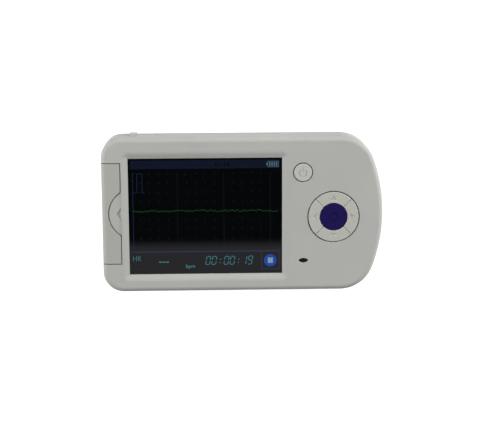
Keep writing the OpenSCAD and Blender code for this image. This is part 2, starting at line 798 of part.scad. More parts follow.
module battery_springs() color("#c2c4c6") {
    gap = cell_start + bay_half - plate_t;
    translate([battery_x1, door_y + cell_start - gap, battery_z]) rotate([-90, 0, 0]) coil(3.4, 1.8, 2, gap);
    translate([battery_x2, door_y - cell_start + gap, battery_z]) rotate([90, 0, 0]) coil(3.4, 1.8, 2, gap);
}

// Contact plates: one under each cell end on the port side, and a bridge across the other side
module battery_plates() color("#c2c4c6") {
    z0 = battery_z - plate_h / 2;
    z1 = battery_z + plate_h / 2 - 0.2;
    near = door_y - bay_half;
    far = door_y + bay_half;
    box(battery_x1 - plate_w / 2, battery_x2 + plate_w / 2, near, near + plate_t, z0, z1);
    box(battery_x1 - plate_w / 2, tail_xs[0] + tail_w / 2, far - plate_t, far, z0, z1);
    box(battery_x2 - plate_w / 2, tail_xs[1] + tail_w / 2, far - plate_t, far, z0, z1);
    for (x = tail_xs) box(x - tail_w / 2, x + tail_w / 2, far - plate_t, arm_y + 1.2, board_top,
        board_top + plate_t);
}

// ---- Electrodes, label and screws ----

module electrode(at) color("#c6c8ca") {
    round_plate(at, electrode_r, sunk, sunk + electrode_t);
    post(at, rivet_r, sunk, rivet_top);
}

module palm_electrode() electrode(palm_at);
module index_electrode() electrode(index_at);
module middle_electrode() electrode(middle_at);

module electrode_springs() color("#b8a060") for (e = [palm_at, index_at, middle_at])
    translate([e[0], e[1], rivet_top]) coil(1.1, 1.1, 4, board_z - rivet_top);

module blank_label() color("#c9c9c6") round_plate(label_at, label_r, sunk, sunk + label_t);

module screw(at, r, z0, z1, top_r, top_t) difference() {
    union() {
        post(at, r, z0, z1);
        post(at, top_r, z1, z1 + top_t);
    }
    for (a = [0, 90]) translate([at[0], at[1], z1 + top_t]) rotate(a)
        cube([top_r * 1.2, 0.4, 1.2], center = true);
}

// Case screws point up from the back
module case_screws() color("#8a8c8e") for (p = posts) translate([p[0], p[1], 0]) mirror([0, 0, 1])
    screw([0, 0], screw_r, -screw_end, -bore_depth, head_r, head_t);

module board_screws() color("#8a8c8e") for (p = standoffs)
    screw(p, board_screw_r, board_z - board_screw_l, board_top, board_head_r, board_head_t);

front_cover();
rear_cover();
window_lens();
lens_gasket();
lcd_panel();
lcd_backlight();
display_carrier();
display_ribbon();
ribbon_socket();
main_board();
signal_shield();
processor_chip();
memory_chip();
clock_crystal();
small_components();
data_port();
port_flap();
power_key();
power_plunger();
power_actuator();
ok_key();
ok_plunger();
ok_actuator();
up_key();
up_plunger();
up_actuator();
left_key();
left_plunger();
left_actuator();
down_key();
down_plunger();
down_actuator();
right_key();
right_plunger();
right_actuator();
keypad_mat();
key_switches();
sounder();
sounder_seal();
sound_mesh();
battery_door();
battery_front();
battery_rear();
battery_springs();
battery_plates();
palm_electrode();
index_electrode();
middle_electrode();
electrode_springs();
blank_label();
case_screws();
board_screws();
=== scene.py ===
import math
import random
import bpy
import bmesh
from mathutils import Euler, Matrix, Vector


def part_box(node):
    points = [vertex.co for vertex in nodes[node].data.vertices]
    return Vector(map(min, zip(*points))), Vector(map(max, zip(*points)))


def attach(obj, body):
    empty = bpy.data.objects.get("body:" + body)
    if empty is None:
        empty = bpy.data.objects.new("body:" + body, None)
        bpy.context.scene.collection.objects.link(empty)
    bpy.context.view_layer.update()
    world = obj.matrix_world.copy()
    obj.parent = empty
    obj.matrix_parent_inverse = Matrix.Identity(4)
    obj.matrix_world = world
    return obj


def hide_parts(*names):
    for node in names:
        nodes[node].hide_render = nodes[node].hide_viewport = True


# Handheld ECG home monitor: new outer pieces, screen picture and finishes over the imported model.
# Shapes are modelled in millimetres and scaled to metres when each piece is finished.

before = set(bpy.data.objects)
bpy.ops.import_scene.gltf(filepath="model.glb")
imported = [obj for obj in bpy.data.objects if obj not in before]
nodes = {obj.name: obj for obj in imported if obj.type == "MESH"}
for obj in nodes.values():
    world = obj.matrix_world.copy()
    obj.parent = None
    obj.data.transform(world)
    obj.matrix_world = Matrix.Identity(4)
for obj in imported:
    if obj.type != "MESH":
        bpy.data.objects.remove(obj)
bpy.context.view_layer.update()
toMetres = 0.001
print("frame loaded:", len(nodes), "nodes")


def nodeBox(name):
    low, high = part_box(name)
    return low / toMetres, high / toMetres


def middle(name):
    low, high = nodeBox(name)
    return (low.x + high.x) / 2, (low.y + high.y) / 2


# node and mesh helpers


def feed(tree, node, values):
    # set a node's inputs, each to a plain value or to the socket that feeds it
    for label, value in values.items():
        if isinstance(value, bpy.types.NodeSocket):
            tree.links.new(value, node.inputs[label])
        else:
            node.inputs[label].default_value = value


def addNode(tree, kind, values, **settings):
    node = tree.nodes.new(kind)
    for label, value in settings.items():
        setattr(node, label, value)
    feed(tree, node, values)
    return node


def mathIn(tree, operation, *values):
    return addNode(tree, "ShaderNodeMath", dict(enumerate(values)), operation=operation).outputs[0]


def rangeIn(tree, value, low, high, toLow=0, toHigh=1):
    values = {"Value": value, "From Min": low, "From Max": high, "To Min": toLow, "To Max": toHigh}
    return addNode(tree, "ShaderNodeMapRange", values).outputs["Result"]


def startMaterial(name):
    material = bpy.data.materials.new(name)
    material.use_nodes = True
    return material, material.node_tree, material.node_tree.nodes["Principled BSDF"]


def addObject(name, bm):
    mesh = bpy.data.meshes.new(name)
    bm.to_mesh(mesh)
    bm.free()
    made = bpy.data.objects.new(name, mesh)
    bpy.context.scene.collection.objects.link(made)
    return made


def shift(bm, *move):
    bmesh.ops.translate(bm, verts=bm.verts, vec=move)


# camera and light

cameraPlace = {
    "lens": 99.46, "sensor": 36,
    # tilt, pan and roll in degrees
    "turn": (10.863, 1.465, 0.584),
    "aside": 0.001037, "up": 0.000813, "away": 0.6207, "aim": (0, 0, 0.010),
}


def placeCamera():
    data = bpy.data.cameras.new("photoCamera")
    data.lens = cameraPlace["lens"]
    data.sensor_width = cameraPlace["sensor"]
    data.sensor_fit = "HORIZONTAL"
    data.clip_start = 0.01
    camera = bpy.data.objects.new("photoCamera", data)
    back = Euler([math.radians(angle) for angle in cameraPlace["turn"]]).to_matrix().transposed()
    seenFrom = Vector((cameraPlace["aside"], cameraPlace["up"], -cameraPlace["away"]))
    stand = Vector(cameraPlace["aim"]) - back @ seenFrom
    camera.matrix_world = Matrix.Translation(stand) @ back.to_4x4()
    bpy.context.scene.collection.objects.link(camera)
    bpy.context.scene.camera = camera


studio = {
    "lamps": {
        # name: (place in metres, width, height, watts)
        "keyLamp": ((0.05, 1.05, 1.43), 1.6, 0.9, 11.0),
        "leftLamp": ((-1.0, 0.20, 0.34), 0.35, 0.6, 8.4),
        "rightLamp": ((1.0, 0.42, 0.29), 0.35, 0.6, 12.4),
    },
    "worldLight": 0.27,
    "floorHalf": 4, "floorDrop": 0.0001, "floorColour": (0.34, 0.34, 0.34, 1), "floorLift": 0.95,
}


def seenByCamera(tree):
    # 1 for what the camera sees, straight on, mirrored or through the window, and 0 for other light
    path = tree.nodes.new("ShaderNodeLightPath").outputs
    seen = mathIn(tree, "MAXIMUM", path["Is Camera Ray"], path["Is Glossy Ray"])
    return mathIn(tree, "MAXIMUM", seen, path["Is Transmission Ray"])


def lightStudio():
    for name, (place, width, height, watts) in studio["lamps"].items():
        data = bpy.data.lights.new(name, "AREA")
        data.shape = "RECTANGLE"
        data.size = width
        data.size_y = height
        data.energy = watts
        lamp = bpy.data.objects.new(name, data)
        lamp.location = place
        lamp.rotation_euler = (-Vector(place)).to_track_quat("-Z", "Y").to_euler()
        bpy.context.scene.collection.objects.link(lamp)
    world = bpy.data.worlds.new("studioWorld")
    bpy.context.scene.world = world
    world.use_nodes = True
    tree = world.node_tree
    strength = rangeIn(tree, seenByCamera(tree), 0, 1, studio["worldLight"], 1)
    feed(tree, tree.nodes["Background"], {"Color": (1, 1, 1, 1), "Strength": strength})


def layFloor():
    bm = bmesh.new()
    bmesh.ops.create_grid(bm, x_segments=1, y_segments=1, size=studio["floorHalf"])
    shift(bm, 0, 0, -studio["floorDrop"])
    floor = addObject("studioFloor", bm)
    material, tree, surface = startMaterial("floorPaper")
    feed(tree, surface, {
        "Base Color": studio["floorColour"], "Roughness": 0.9, "Specular IOR Level": 0.0,
        "Emission Color": (1, 1, 1, 1),
        "Emission Strength": mathIn(tree, "MULTIPLY", seenByCamera(tree), studio["floorLift"]),
    })
    floor.data.materials.append(material)


placeCamera()
lightStudio()
layFloor()
print("camera, lamps and floor placed")

# finishes


def linear(value):
    value /= 255
    return value / 12.92 if value <= 0.04045 else ((value + 0.055) / 1.055) ** 2.4


def shade(red, green, blue):
    return (linear(red), linear(green), linear(blue), 1)


def tinted(colour, factor):
    return tuple(min(1, c * factor) for c in colour[:3]) + (1,)


def startGroup(name, inputs, outputs):
    group = bpy.data.node_groups.new(name, "ShaderNodeTree")
    for label, value in inputs:
        socket = group.interface.new_socket(name=label, in_out="INPUT", socket_type="NodeSocketFloat")
        socket.default_value = value
    for label in outputs:
        group.interface.new_socket(name=label, in_out="OUTPUT", socket_type="NodeSocketFloat")
    return group, group.nodes.new("NodeGroupInput"), group.nodes.new("NodeGroupOutput")


def objectPlace(tree):
    return tree.nodes.new("ShaderNodeTexCoord").outputs["Object"]


def noiseIn(tree, vector, scale, detail, distortion=0.0):
    values = {"Vector": vector, "Scale": scale, "Detail": detail, "Distortion": distortion}
    return addNode(tree, "ShaderNodeTexNoise", values).outputs["Fac"]


def buildMouldedGrain():
    # spark-eroded mould texture, with slow drift in colour and gloss
    group, start, end = startGroup("mouldedGrain", [("Grain Scale", 3200), ("Patch Scale", 28)],
                                   ["Height", "Drift", "Gloss"])
    place = objectPlace(group)
    grain = start.outputs["Grain Scale"]
    pits = addNode(group, "ShaderNodeTexVoronoi", {"Vector": place, "Scale": grain}, feature="SMOOTH_F1")
    patches = noiseIn(group, place, start.outputs["Patch Scale"], 4)
    gloss = noiseIn(group, place, 110, 5, 0.6)
    fine = noiseIn(group, place, grain, 3)
    feed(group, end, {
        "Height": mathIn(group, "MULTIPLY_ADD", pits.outputs["Distance"], 0.55, fine),
        "Drift": rangeIn(group, patches, 0.3, 0.7),
        "Gloss": rangeIn(group, gloss, 0.35, 0.7),
    })
    return group


def buildHandlingMarks():
    # faint finger marks: soft ovals broken up by fine ridges
    group, start, end = startGroup("handlingMarks", [("Mark Scale", 60), ("Coverage", 0.5)], ["Mask"])
    place = objectPlace(group)
    blobs = noiseIn(group, place, start.outputs["Mark Scale"], 2, 1.2)
    ovals = rangeIn(group, blobs, start.outputs["Coverage"], 0.9)
    waves = {"Vector": place, "Scale": 700, "Distortion": 9, "Detail": 1}
    ridges = addNode(group, "ShaderNodeTexWave", waves).outputs["Fac"]
    broken = rangeIn(group, ridges, 0, 1, 0.6, 1)
    feed(group, end, {"Mask": mathIn(group, "MULTIPLY", ovals, broken)})
    return group


def buildBrushedLines():
    # long hairlines from a brushing belt, running along Y
    group, start, end = startGroup("brushedLines", [("Line Scale", 2600), ("Stretch", 0.02)],
                                   ["Height", "Tone"])
    stretch = addNode(group, "ShaderNodeCombineXYZ", {"X": 1, "Y": start.outputs["Stretch"], "Z": 1})
    pulled = addNode(group, "ShaderNodeVectorMath", {0: objectPlace(group), 1: stretch.outputs["Vector"]},
                     operation="MULTIPLY").outputs["Vector"]
    feed(group, end, {
        "Height": noiseIn(group, pulled, start.outputs["Line Scale"], 4),
        "Tone": rangeIn(group, noiseIn(group, pulled, 320, 3), 0.3, 0.7),
    })
    return group


def buildPixelGrid():
    # dark lines between the picture cells of the display
    group, start, end = startGroup("pixelGrid", [("Cells Per Metre", 4545)], ["Cell"])
    split = addNode(group, "ShaderNodeSeparateXYZ", {"Vector": objectPlace(group)})
    sides = []
    for axis in ("X", "Y"):
        scaled = mathIn(group, "MULTIPLY", split.outputs[axis], start.outputs["Cells Per Metre"])
        sides.append(rangeIn(group, mathIn(group, "PINGPONG", scaled, 0.5), 0.0, 0.14))
    feed(group, end, {"Cell": mathIn(group, "MINIMUM", *sides)})
    return group


mouldedGrain = buildMouldedGrain()
handlingMarks = buildHandlingMarks()
brushedLines = buildBrushedLines()
pixelGrid = buildPixelGrid()


def placeGroup(tree, group, values):
    return addNode(tree, "ShaderNodeGroup", values, node_tree=group).outputs


def mixColours(tree, mask, first, second, blend="MIX"):
    values = {"Factor": mask, "A": first, "B": second}
    return addNode(tree, "ShaderNodeMix", values, data_type="RGBA", blend_type=blend).outputs["Result"]


def bumpIn(tree, height, distance):
    return addNode(tree, "ShaderNodeBump", {"Height": height, "Distance": distance}).outputs["Normal"]


def mouldedMaterial(name, colour, rough=0.5, drift=0.03, grain=3200, depth=0.000006, marks=0.06, level=0.2):
    material, tree, surface = startMaterial(name)
    texture = placeGroup(tree, mouldedGrain, {"Grain Scale": grain, "Patch Scale": 28})
    finger = placeGroup(tree, handlingMarks, {"Mark Scale": 55, "Coverage": 0.52})
    gloss = rangeIn(tree, texture["Gloss"], 0, 1, rough - 0.03, rough + 0.04)
    dark, pale = tinted(colour, 1 - drift), tinted(colour, 1 + drift)
    feed(tree, surface, {
        "Base Color": mixColours(tree, texture["Drift"], dark, pale),
        "Roughness": mathIn(tree, "MULTIPLY_ADD", finger["Mask"], -marks, gloss),
        "Specular IOR Level": level,
        "Normal": bumpIn(tree, texture["Height"], depth),
    })
    return material


def rubberMaterial(name, colour, rough):
    material = mouldedMaterial(name, colour, rough, drift=0.05, grain=2200, depth=0.00001, marks=0.08,
                               level=0.35)
    tree = material.node_tree
    feed(tree, tree.nodes["Principled BSDF"], {"Sheen Weight": 0.12, "Sheen Roughness": 0.5})
    return material


def metalMaterial(name, colour, rough, stretch):
    material, tree, surface = startMaterial(name)
    brushed = placeGroup(tree, brushedLines, {"Line Scale": 2600, "Stretch": stretch})
    feed(tree, surface, {
        "Base Color": mixColours(tree, brushed["Tone"], tinted(colour, 0.88), tinted(colour, 1.06)),
        "Metallic": 1.0,
        "Roughness": rangeIn(tree, brushed["Tone"], 0, 1, rough - 0.05, rough + 0.08),
        "Normal": bumpIn(tree, brushed["Height"], 0.000004),
    })
    return material


def lightPicture(tree, surface, colour, rough):
    # the colour comes from light, over a black display
    feed(tree, surface, {
        "Base Color": (0.0002, 0.0002, 0.0002, 1), "Roughness": rough, "Specular IOR Level": 0.0,
        "Emission Color": colour, "Emission Strength": 1.0,
    })


def glowMaterial(name, colour, cell):
    material, tree, surface = startMaterial(name)
    grid = placeGroup(tree, pixelGrid, {"Cells Per Metre": 4545})
    lightPicture(tree, surface, mixColours(tree, grid["Cell"], tinted(colour, cell), colour), 0.5)
    return material


def displayMaterial(name, top, reflectionGrey, reflectionFrom, reflectionTo):
    # black picture ground with a painted reflection: it pales to grey towards the readings at the foot of the
    # screen
    material, tree, surface = startMaterial(name)
    grid = placeGroup(tree, pixelGrid, {"Cells Per Metre": 4545})
    split = addNode(tree, "ShaderNodeSeparateXYZ", {"Vector": objectPlace(tree)})
    reflectionFade = addNode(tree, "ShaderNodeMapRange",
                   {"Value": split.outputs["Y"], "From Min": reflectionFrom, "From Max": reflectionTo},
                   interpolation_type="SMOOTHSTEP")
    ground = mixColours(tree, reflectionFade.outputs["Result"], top, reflectionGrey)
    cells = mixColours(tree, grid["Cell"], (0.82, 0.82, 0.82, 1), (1, 1, 1, 1))
    lightPicture(tree, surface, mixColours(tree, 1.0, ground, cells, "MULTIPLY"), 0.4)
    return material


def lensMaterial(name):
    # clear window; an index close to that of air keeps noise off the dim picture behind it
    material, tree, surface = startMaterial(name)
    finger = placeGroup(tree, handlingMarks, {"Mark Scale": 45, "Coverage": 0.5})
    feed(tree, surface, {
        "Base Color": mixColours(tree, finger["Mask"], (0.97, 0.98, 1.0, 1), (0.94, 0.95, 0.97, 1)),
        "Roughness": 0.0, "Transmission Weight": 1.0, "IOR": 1.002,
    })
    return material


def boardMaterial(name):
    # solder mask over copper: tracks show as slightly paler green lines
    material, tree, surface = startMaterial(name)
    tracks = addNode(tree, "ShaderNodeTexBrick", {
        "Vector": objectPlace(tree), "Scale": 220, "Mortar Size": 0.12,
        "Color1": shade(22, 74, 44), "Color2": shade(26, 82, 50), "Mortar": shade(44, 112, 70),
    }).outputs
    feed(tree, surface, {
        "Base Color": tracks["Color"], "Normal": bumpIn(tree, tracks["Fac"], 0.00003),
        "Roughness": 0.35, "Coat Weight": 0.3,
    })
    return material


mouldedFinishes = {
    # name: (colour, what differs from the plain case plastic)
    "casePlastic": ((172, 173, 168), {}),
    "backPlastic": ((168, 169, 165), {}),
    "doorPlastic": ((166, 166, 160), {}),
    "keyPlastic": ((178, 178, 171), {"rough": 0.42, "drift": 0.015, "depth": 0.000003}),
    "powerPlastic": ((183, 184, 177), {"rough": 0.42, "drift": 0.015, "depth": 0.000003}),
    "okPlastic": ((26, 18, 74), {"rough": 0.40, "drift": 0.06, "depth": 0.000003, "level": 0.06}),
    "innerPlastic": ((200, 200, 196), {"rough": 0.55, "drift": 0.04}),
    "socketPlastic": ((228, 224, 212), {}),
    "switchBlack": ((42, 42, 44), {"drift": 0.1}),
    "chipBlack": ((30, 30, 32), {"rough": 0.55, "drift": 0.12, "grain": 5200}),
    "fireCeramic": ((122, 90, 60), {"rough": 0.45, "drift": 0.15, "grain": 6000}),
    "cellJacket": ((61, 111, 82), {"rough": 0.28, "drift": 0.04, "grain": 900}),
    "cellBand": ((196, 178, 120), {"rough": 0.25, "grain": 900}),
    "labelFilm": ((206, 206, 203), {"rough": 0.6, "drift": 0.02, "grain": 5200}),
    "flexFilm": ((176, 112, 44), {"rough": 0.3, "drift": 0.08, "grain": 1200}),
    "lightGuide": ((214, 214, 208), {"rough": 0.35}),
}
rubberFinishes = {
    # name: (colour, roughness)
    "flapRubber": ((176, 177, 172), 0.7),
    "keypadRubber": ((141, 143, 142), 0.7),
    "blackFoam": ((26, 26, 26), 0.9),
    "acousticMesh": ((30, 30, 32), 0.85),
}
metalFinishes = {
    # name: (colour, roughness, stretch of the hairlines)
    "electrodeSteel": ((205, 207, 209), 0.3, 0.02),
    "tinnedSteel": ((185, 188, 190), 0.35, 0.02),
    "nickelContact": ((196, 198, 200), 0.25, 0.02),
    "goldContact": ((196, 164, 88), 0.3, 0.02),
    "screwSteel": ((150, 152, 154), 0.32, 0.3),
}
glowFinishes = {
    # name: (colour, share of the light left between the picture cells)
    "displayBlack": ((3, 3, 3), 0.86), "titleBlue": ((18, 24, 39), 0.9), "clockDark": ((3, 4, 7), 0.9),
    "panelGrey": ((50, 56, 72), 0.9), "gridOlive": ((40, 44, 29), 0.8), "traceGreen": ((30, 68, 35), 0.8),
    "calibrationBlue": ((26, 46, 74), 0.8), "readingTeal": ((70, 128, 136), 0.85),
    "labelTeal": ((72, 142, 148), 0.9), "unitTeal": ((92, 174, 180), 0.9), "dashTeal": ((70, 134, 140), 0.85),
    "iconBlue": ((40, 74, 158), 0.85), "iconWhite": ((130, 154, 172), 0.85),
    "iconSilver": ((84, 90, 106), 0.85), "iconCyan": ((72, 114, 122), 0.85),
}
# the painted reflection on the screen ground fades in between these heights, in metres
screenReflectionFade = (-0.0113, -0.0172)

finish = {
    "boardGreen": boardMaterial("boardGreen"), "windowGlass": lensMaterial("windowGlass"),
    # the pale grey at the foot of the screen ground is a painted reflection
    "displayGround": displayMaterial("displayGround", shade(6, 7, 9), shade(41, 41, 43), *screenReflectionFade),
}
for name, (colour, changes) in mouldedFinishes.items():
    finish[name] = mouldedMaterial(name, shade(*colour), **changes)
for make, table in ((rubberMaterial, rubberFinishes), (metalMaterial, metalFinishes),
                    (glowMaterial, glowFinishes)):
    for name, (colour, *values) in table.items():
        finish[name] = make(name, shade(*colour), *values)
print("finishes built")

# modelling helpers


def applyModifiers(made):
    depsgraph = bpy.context.evaluated_depsgraph_get()
    depsgraph.update()
    mesh = bpy.data.meshes.new_from_object(made.evaluated_get(depsgraph), depsgraph=depsgraph)
    made.modifiers.clear()
    old = made.data
    made.data = mesh
    bpy.data.meshes.remove(old)


def combine(made, other, operation):
    change = made.modifiers.new("combine", "BOOLEAN")
    change.object = other
    change.operation = operation
    change.solver = "EXACT"
    applyModifiers(made)
    bpy.data.objects.remove(other)


def cut(made, *cutters):
    for cutter in cutters:
        combine(made, cutter, "DIFFERENCE")


def arcLoop(bm, arcs, z):
    # arcs (x, y, radius, start, end, steps) in turn anticlockwise, joined by straight runs
    ends = []
    for x, y, radius, start, end, steps in arcs:
        first = bm.verts.new((x + radius * math.cos(start), y + radius * math.sin(start), z))
        turned = bmesh.ops.spin(bm, geom=[first], cent=(x, y, z), axis=(0, 0, 1), angle=end - start,
                                steps=steps)
        last = [v for v in turned["geom_last"] if isinstance(v, bmesh.types.BMVert)][0]
        ends.append((first, last))
    for index, (first, last) in enumerate(ends):
        bmesh.ops.contextual_create(bm, geom=[last, ends[(index + 1) % len(ends)][0]])
    bmesh.ops.remove_doubles(bm, verts=bm.verts, dist=0.0005)
    return bmesh.ops.contextual_create(bm, geom=bm.edges[:])["faces"]


def raiseFaces(bm, faces, height):
    raised = bmesh.ops.extrude_face_region(bm, geom=faces)
    moved = [v for v in raised["geom"] if isinstance(v, bmesh.types.BMVert)]
    bmesh.ops.translate(bm, verts=moved, vec=(0, 0, height))
    bmesh.ops.recalc_face_normals(bm, faces=bm.faces)


def edgesAt(bm, z):
    return [e for e in bm.edges if all(abs(v.co.z - z) < 0.0005 for v in e.verts)]


def uprightEdges(bm, rise):
    return [e for e in bm.edges if abs(e.verts[0].co.z - e.verts[1].co.z) > rise]


def roundEdges(bm, edges, offset, segments):
    bmesh.ops.bevel(bm, geom=edges, offset=offset, offset_type="OFFSET", affect="EDGES",
                    segments=segments, profile=0.5, material=-1, clamp_overlap=False)


def block(low, high, cornerRound=0):
    # box between two corners; cornerRound rounds its four upright edges
    bm = bmesh.new()
    bmesh.ops.create_cube(bm, size=1)
    bmesh.ops.scale(bm, verts=bm.verts, vec=[h - l for l, h in zip(low, high)])
    shift(bm, *[(h + l) / 2 for l, h in zip(low, high)])
    if cornerRound:
        roundEdges(bm, uprightEdges(bm, 0.5 * (high[2] - low[2])), cornerRound, 6)
    return bm


def lathe(profile, x, y, steps=96):
    # profile of (radius, z) spun about an upright axis
    bm = bmesh.new()
    line = [bm.verts.new((x + radius, y, z)) for radius, z in profile]
    for a, b in zip(line, line[1:]):
        bmesh.ops.contextual_create(bm, geom=[a, b])
    bmesh.ops.spin(bm, geom=bm.verts[:] + bm.edges[:], cent=(x, y, 0), axis=(0, 0, 1),
                   angle=2 * math.pi, steps=steps, use_merge=True)
    bmesh.ops.remove_doubles(bm, verts=bm.verts, dist=0.0005)
    bmesh.ops.recalc_face_normals(bm, faces=bm.faces)
    return bm


def quarterArc(x, z, radius, start, end, steps=5):
    # points of a fillet in a lathe profile, angles in degrees
    angles = [math.radians(start + (end - start) * i / steps) for i in range(steps + 1)]
    return [(x + radius * math.cos(angle), z + radius * math.sin(angle)) for angle in angles]


def flaredBore(radius, low, top, flare, x, y, steps=128):
    # cutter for a round opening whose mouth is rounded by flare
    mouth = quarterArc(radius + flare, top - flare, flare, 180, 90)
    return lathe([(0, low), (radius, low)] + mouth + [(radius + flare, top + 1), (0, top + 1)], x, y, steps)


sharpAngle = math.radians(32)


def finishPiece(made, name, material, body, replaced=(), soften=0, segments=3):
    bm = bmesh.new()
    bm.from_mesh(made.data)
    bmesh.ops.remove_doubles(bm, verts=bm.verts, dist=0.002)
    bmesh.ops.dissolve_degenerate(bm, dist=0.002, edges=bm.edges)
    bm.to_mesh(made.data)
    bm.free()
    if soften:
        rounding = made.modifiers.new("edgeRounding", "BEVEL")
        rounding.width = soften
        rounding.segments = segments
        rounding.limit_method = "ANGLE"
        rounding.angle_limit = sharpAngle
        rounding.miter_outer = "MITER_ARC"
        applyModifiers(made)
    mesh = made.data
    for polygon in mesh.polygons:
        polygon.use_smooth = True
    mesh.set_sharp_from_angle(angle=sharpAngle)
    evened = made.modifiers.new("evenShading", "WEIGHTED_NORMAL")
    evened.keep_sharp = True
    applyModifiers(made)
    mesh = made.data
    mesh.transform(Matrix.Scale(toMetres, 4))
    made.name = name
    mesh.name = name
    mesh.materials.clear()
    mesh.materials.append(finish[material])
    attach(made, body)
    if replaced:
        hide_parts(*replaced)


def copyOfNode(name):
    # a merged copy of a CAD node's mesh, in millimetres
    bm = bmesh.new()
    bm.from_mesh(nodes[name].data)
    bmesh.ops.scale(bm, verts=bm.verts, vec=(1000, 1000, 1000))
    bmesh.ops.remove_doubles(bm, verts=bm.verts, dist=0.0005)
    bmesh.ops.dissolve_limit(bm, angle_limit=math.radians(0.5), verts=bm.verts, edges=bm.edges)
    return addObject(name + "Copy", bm)


def turnAbout(bm, verts, degrees, axis="Z"):
    turn = Matrix.Rotation(math.radians(degrees), 3, axis)
    bmesh.ops.rotate(bm, verts=verts, cent=(0, 0, 0), matrix=turn)


# body shells

body = {
    "wall": 1.8, "cornerRound": 9.4, "endRadius": 74, "endCornerRound": 16,
    "frontRound": 2.4, "backRound": 4.0, "roundSteps": 10, "splitHeight": 7.0, "rebate": 1.4, "soften": 0.14,
    "doorEdge": -55.9, "doorMiddle": 0.8, "doorHalf": 23.75, "doorBottom": 2.5, "doorGap": 0.4,
    "tongueLow": 12.65, "tongueHigh": 13.45, "tongueInset": 0.3, "tongueRound": 1.5,
    "thumbX": -50.0, "thumbRadius": 11.5, "thumbSink": 0.25, "thumbSinkRadius": 13, "thumbCorner": 0.6,
    "notchCorner": (8.5, 11.5),
    "arrowLength": 2.4, "arrowWidth": 6.2, "arrowDepth": 0.6,
    "windowMargin": 1.92, "windowFootMargin": 1.8, "lensPlay": 0.1, "lensRound": 1.0,
    "bezelWidth": 3.5, "bezelDepth": 1.1, "bezelBend": 2.0, "bendSteps": 8, "bezelEnd": 0.03,
    "keysOpening": 12.0, "keysFlare": 0.3, "powerOpening": 4.5, "powerFlare": 0.25, "powerShift": 0.06,
    "soundWidth": 4.3, "soundHeight": 2.3, "soundFlare": 0.12,
    # Y counts from the body's upper side here
    "flapSeat": ((-52.25, -1.15, 8.45), (-39.5, 2, 13.65)),
    "portOpening": ((-50.2, -4, 8.9), (-41.8, 0, 12.1)),
    "screwPosts": ((-59.3, 29.85), (-59.3, -29.05), (45.8, 28), (45.8, -28)),
    # bore radius, outer radius and foot height of the tubes under the front
    "post": (1.05, 2.9, 7.4), "keysRib": (13.0, 13.9, 14.4), "powerRib": (5.3, 6.2, 14.4),
    "chimney": (2.5, 3.2, 14.2),
}
bodyLow, bodyHigh = nodeBox("rear_cover")
bodyHigh.z = nodeBox("front_cover")[1].z
halfWidth = bodyHigh.y
navX, navY = middle("ok_key")
powerX, powerY = middle("power_key")
powerX -= body["powerShift"]
soundX, soundY = middle("sound_mesh")
lensLow, lensHigh = nodeBox("window_lens")
windowLow = lensLow + Vector((body["windowMargin"], body["windowFootMargin"], 0))
windowHigh = lensHigh - Vector((body["windowMargin"], body["windowMargin"], 0))
windowMiddle = (windowLow + windowHigh) / 2


def bodyArcs(inset):
    endX = bodyHigh.x - body["endRadius"]
    cornerY = halfWidth - body["endCornerRound"]
    run = math.sqrt((body["endRadius"] - body["endCornerRound"]) ** 2 - cornerY ** 2)
    lean = math.atan2(cornerY, run)
    leftX = bodyLow.x + body["cornerRound"]
    leftY = halfWidth - body["cornerRound"]
    quarter = math.pi / 2
    small = body["cornerRound"] - inset
    large = body["endCornerRound"] - inset
    return [
        (endX, 0, body["endRadius"] - inset, -lean, lean, 48),
        (endX + run, cornerY, large, lean, quarter, 36),
        (leftX, leftY, small, quarter, 2 * quarter, 36),
        (leftX, -leftY, small, 2 * quarter, 3 * quarter, 36),
        (endX + run, -cornerY, large, 3 * quarter, 4 * quarter - lean, 36),
    ]


def upright(inset, low, high):
    bm = bmesh.new()
    raiseFaces(bm, arcLoop(bm, bodyArcs(inset), low), high - low)
    return bm


def bodySlab():
    bm = upright(0, bodyLow.z, bodyHigh.z)
    roundEdges(bm, edgesAt(bm, bodyHigh.z), body["frontRound"], body["roundSteps"])
    roundEdges(bm, edgesAt(bm, bodyLow.z), body["backRound"], body["roundSteps"])
    return addObject("bodySlab", bm)


def doorSpace(gap):
    # space of the battery door, with the thumb rest left standing in it; it reaches well past the body
    edge, top = body["doorEdge"] - gap, 30
    space = addObject("doorSpace", block(
        (-90, body["doorMiddle"] - body["doorHalf"] + gap, body["doorBottom"] + gap),
        (edge, body["doorMiddle"] + body["doorHalf"] - gap, top)))
    rest = lathe([(0, -5), (body["thumbRadius"] + gap, -5), (body["thumbRadius"] + gap, top + 5),
                  (0, top + 5)], body["thumbX"], body["doorMiddle"], 160)
    cut(space, addObject("thumbRest", rest))
    bm = bmesh.new()
    bm.from_mesh(space.data)
    # the two corners where the notch meets the door's straight edge
    nearest, furthest = body["notchCorner"]
    corners = [e for e in uprightEdges(bm, 1) if all(abs(v.co.x - edge) < 0.01 for v in e.verts)
               and nearest < abs(e.verts[0].co.y - body["doorMiddle"]) < furthest]
    roundEdges(bm, corners, body["thumbCorner"], 5)
    bm.to_mesh(space.data)
    bm.free()
    return space


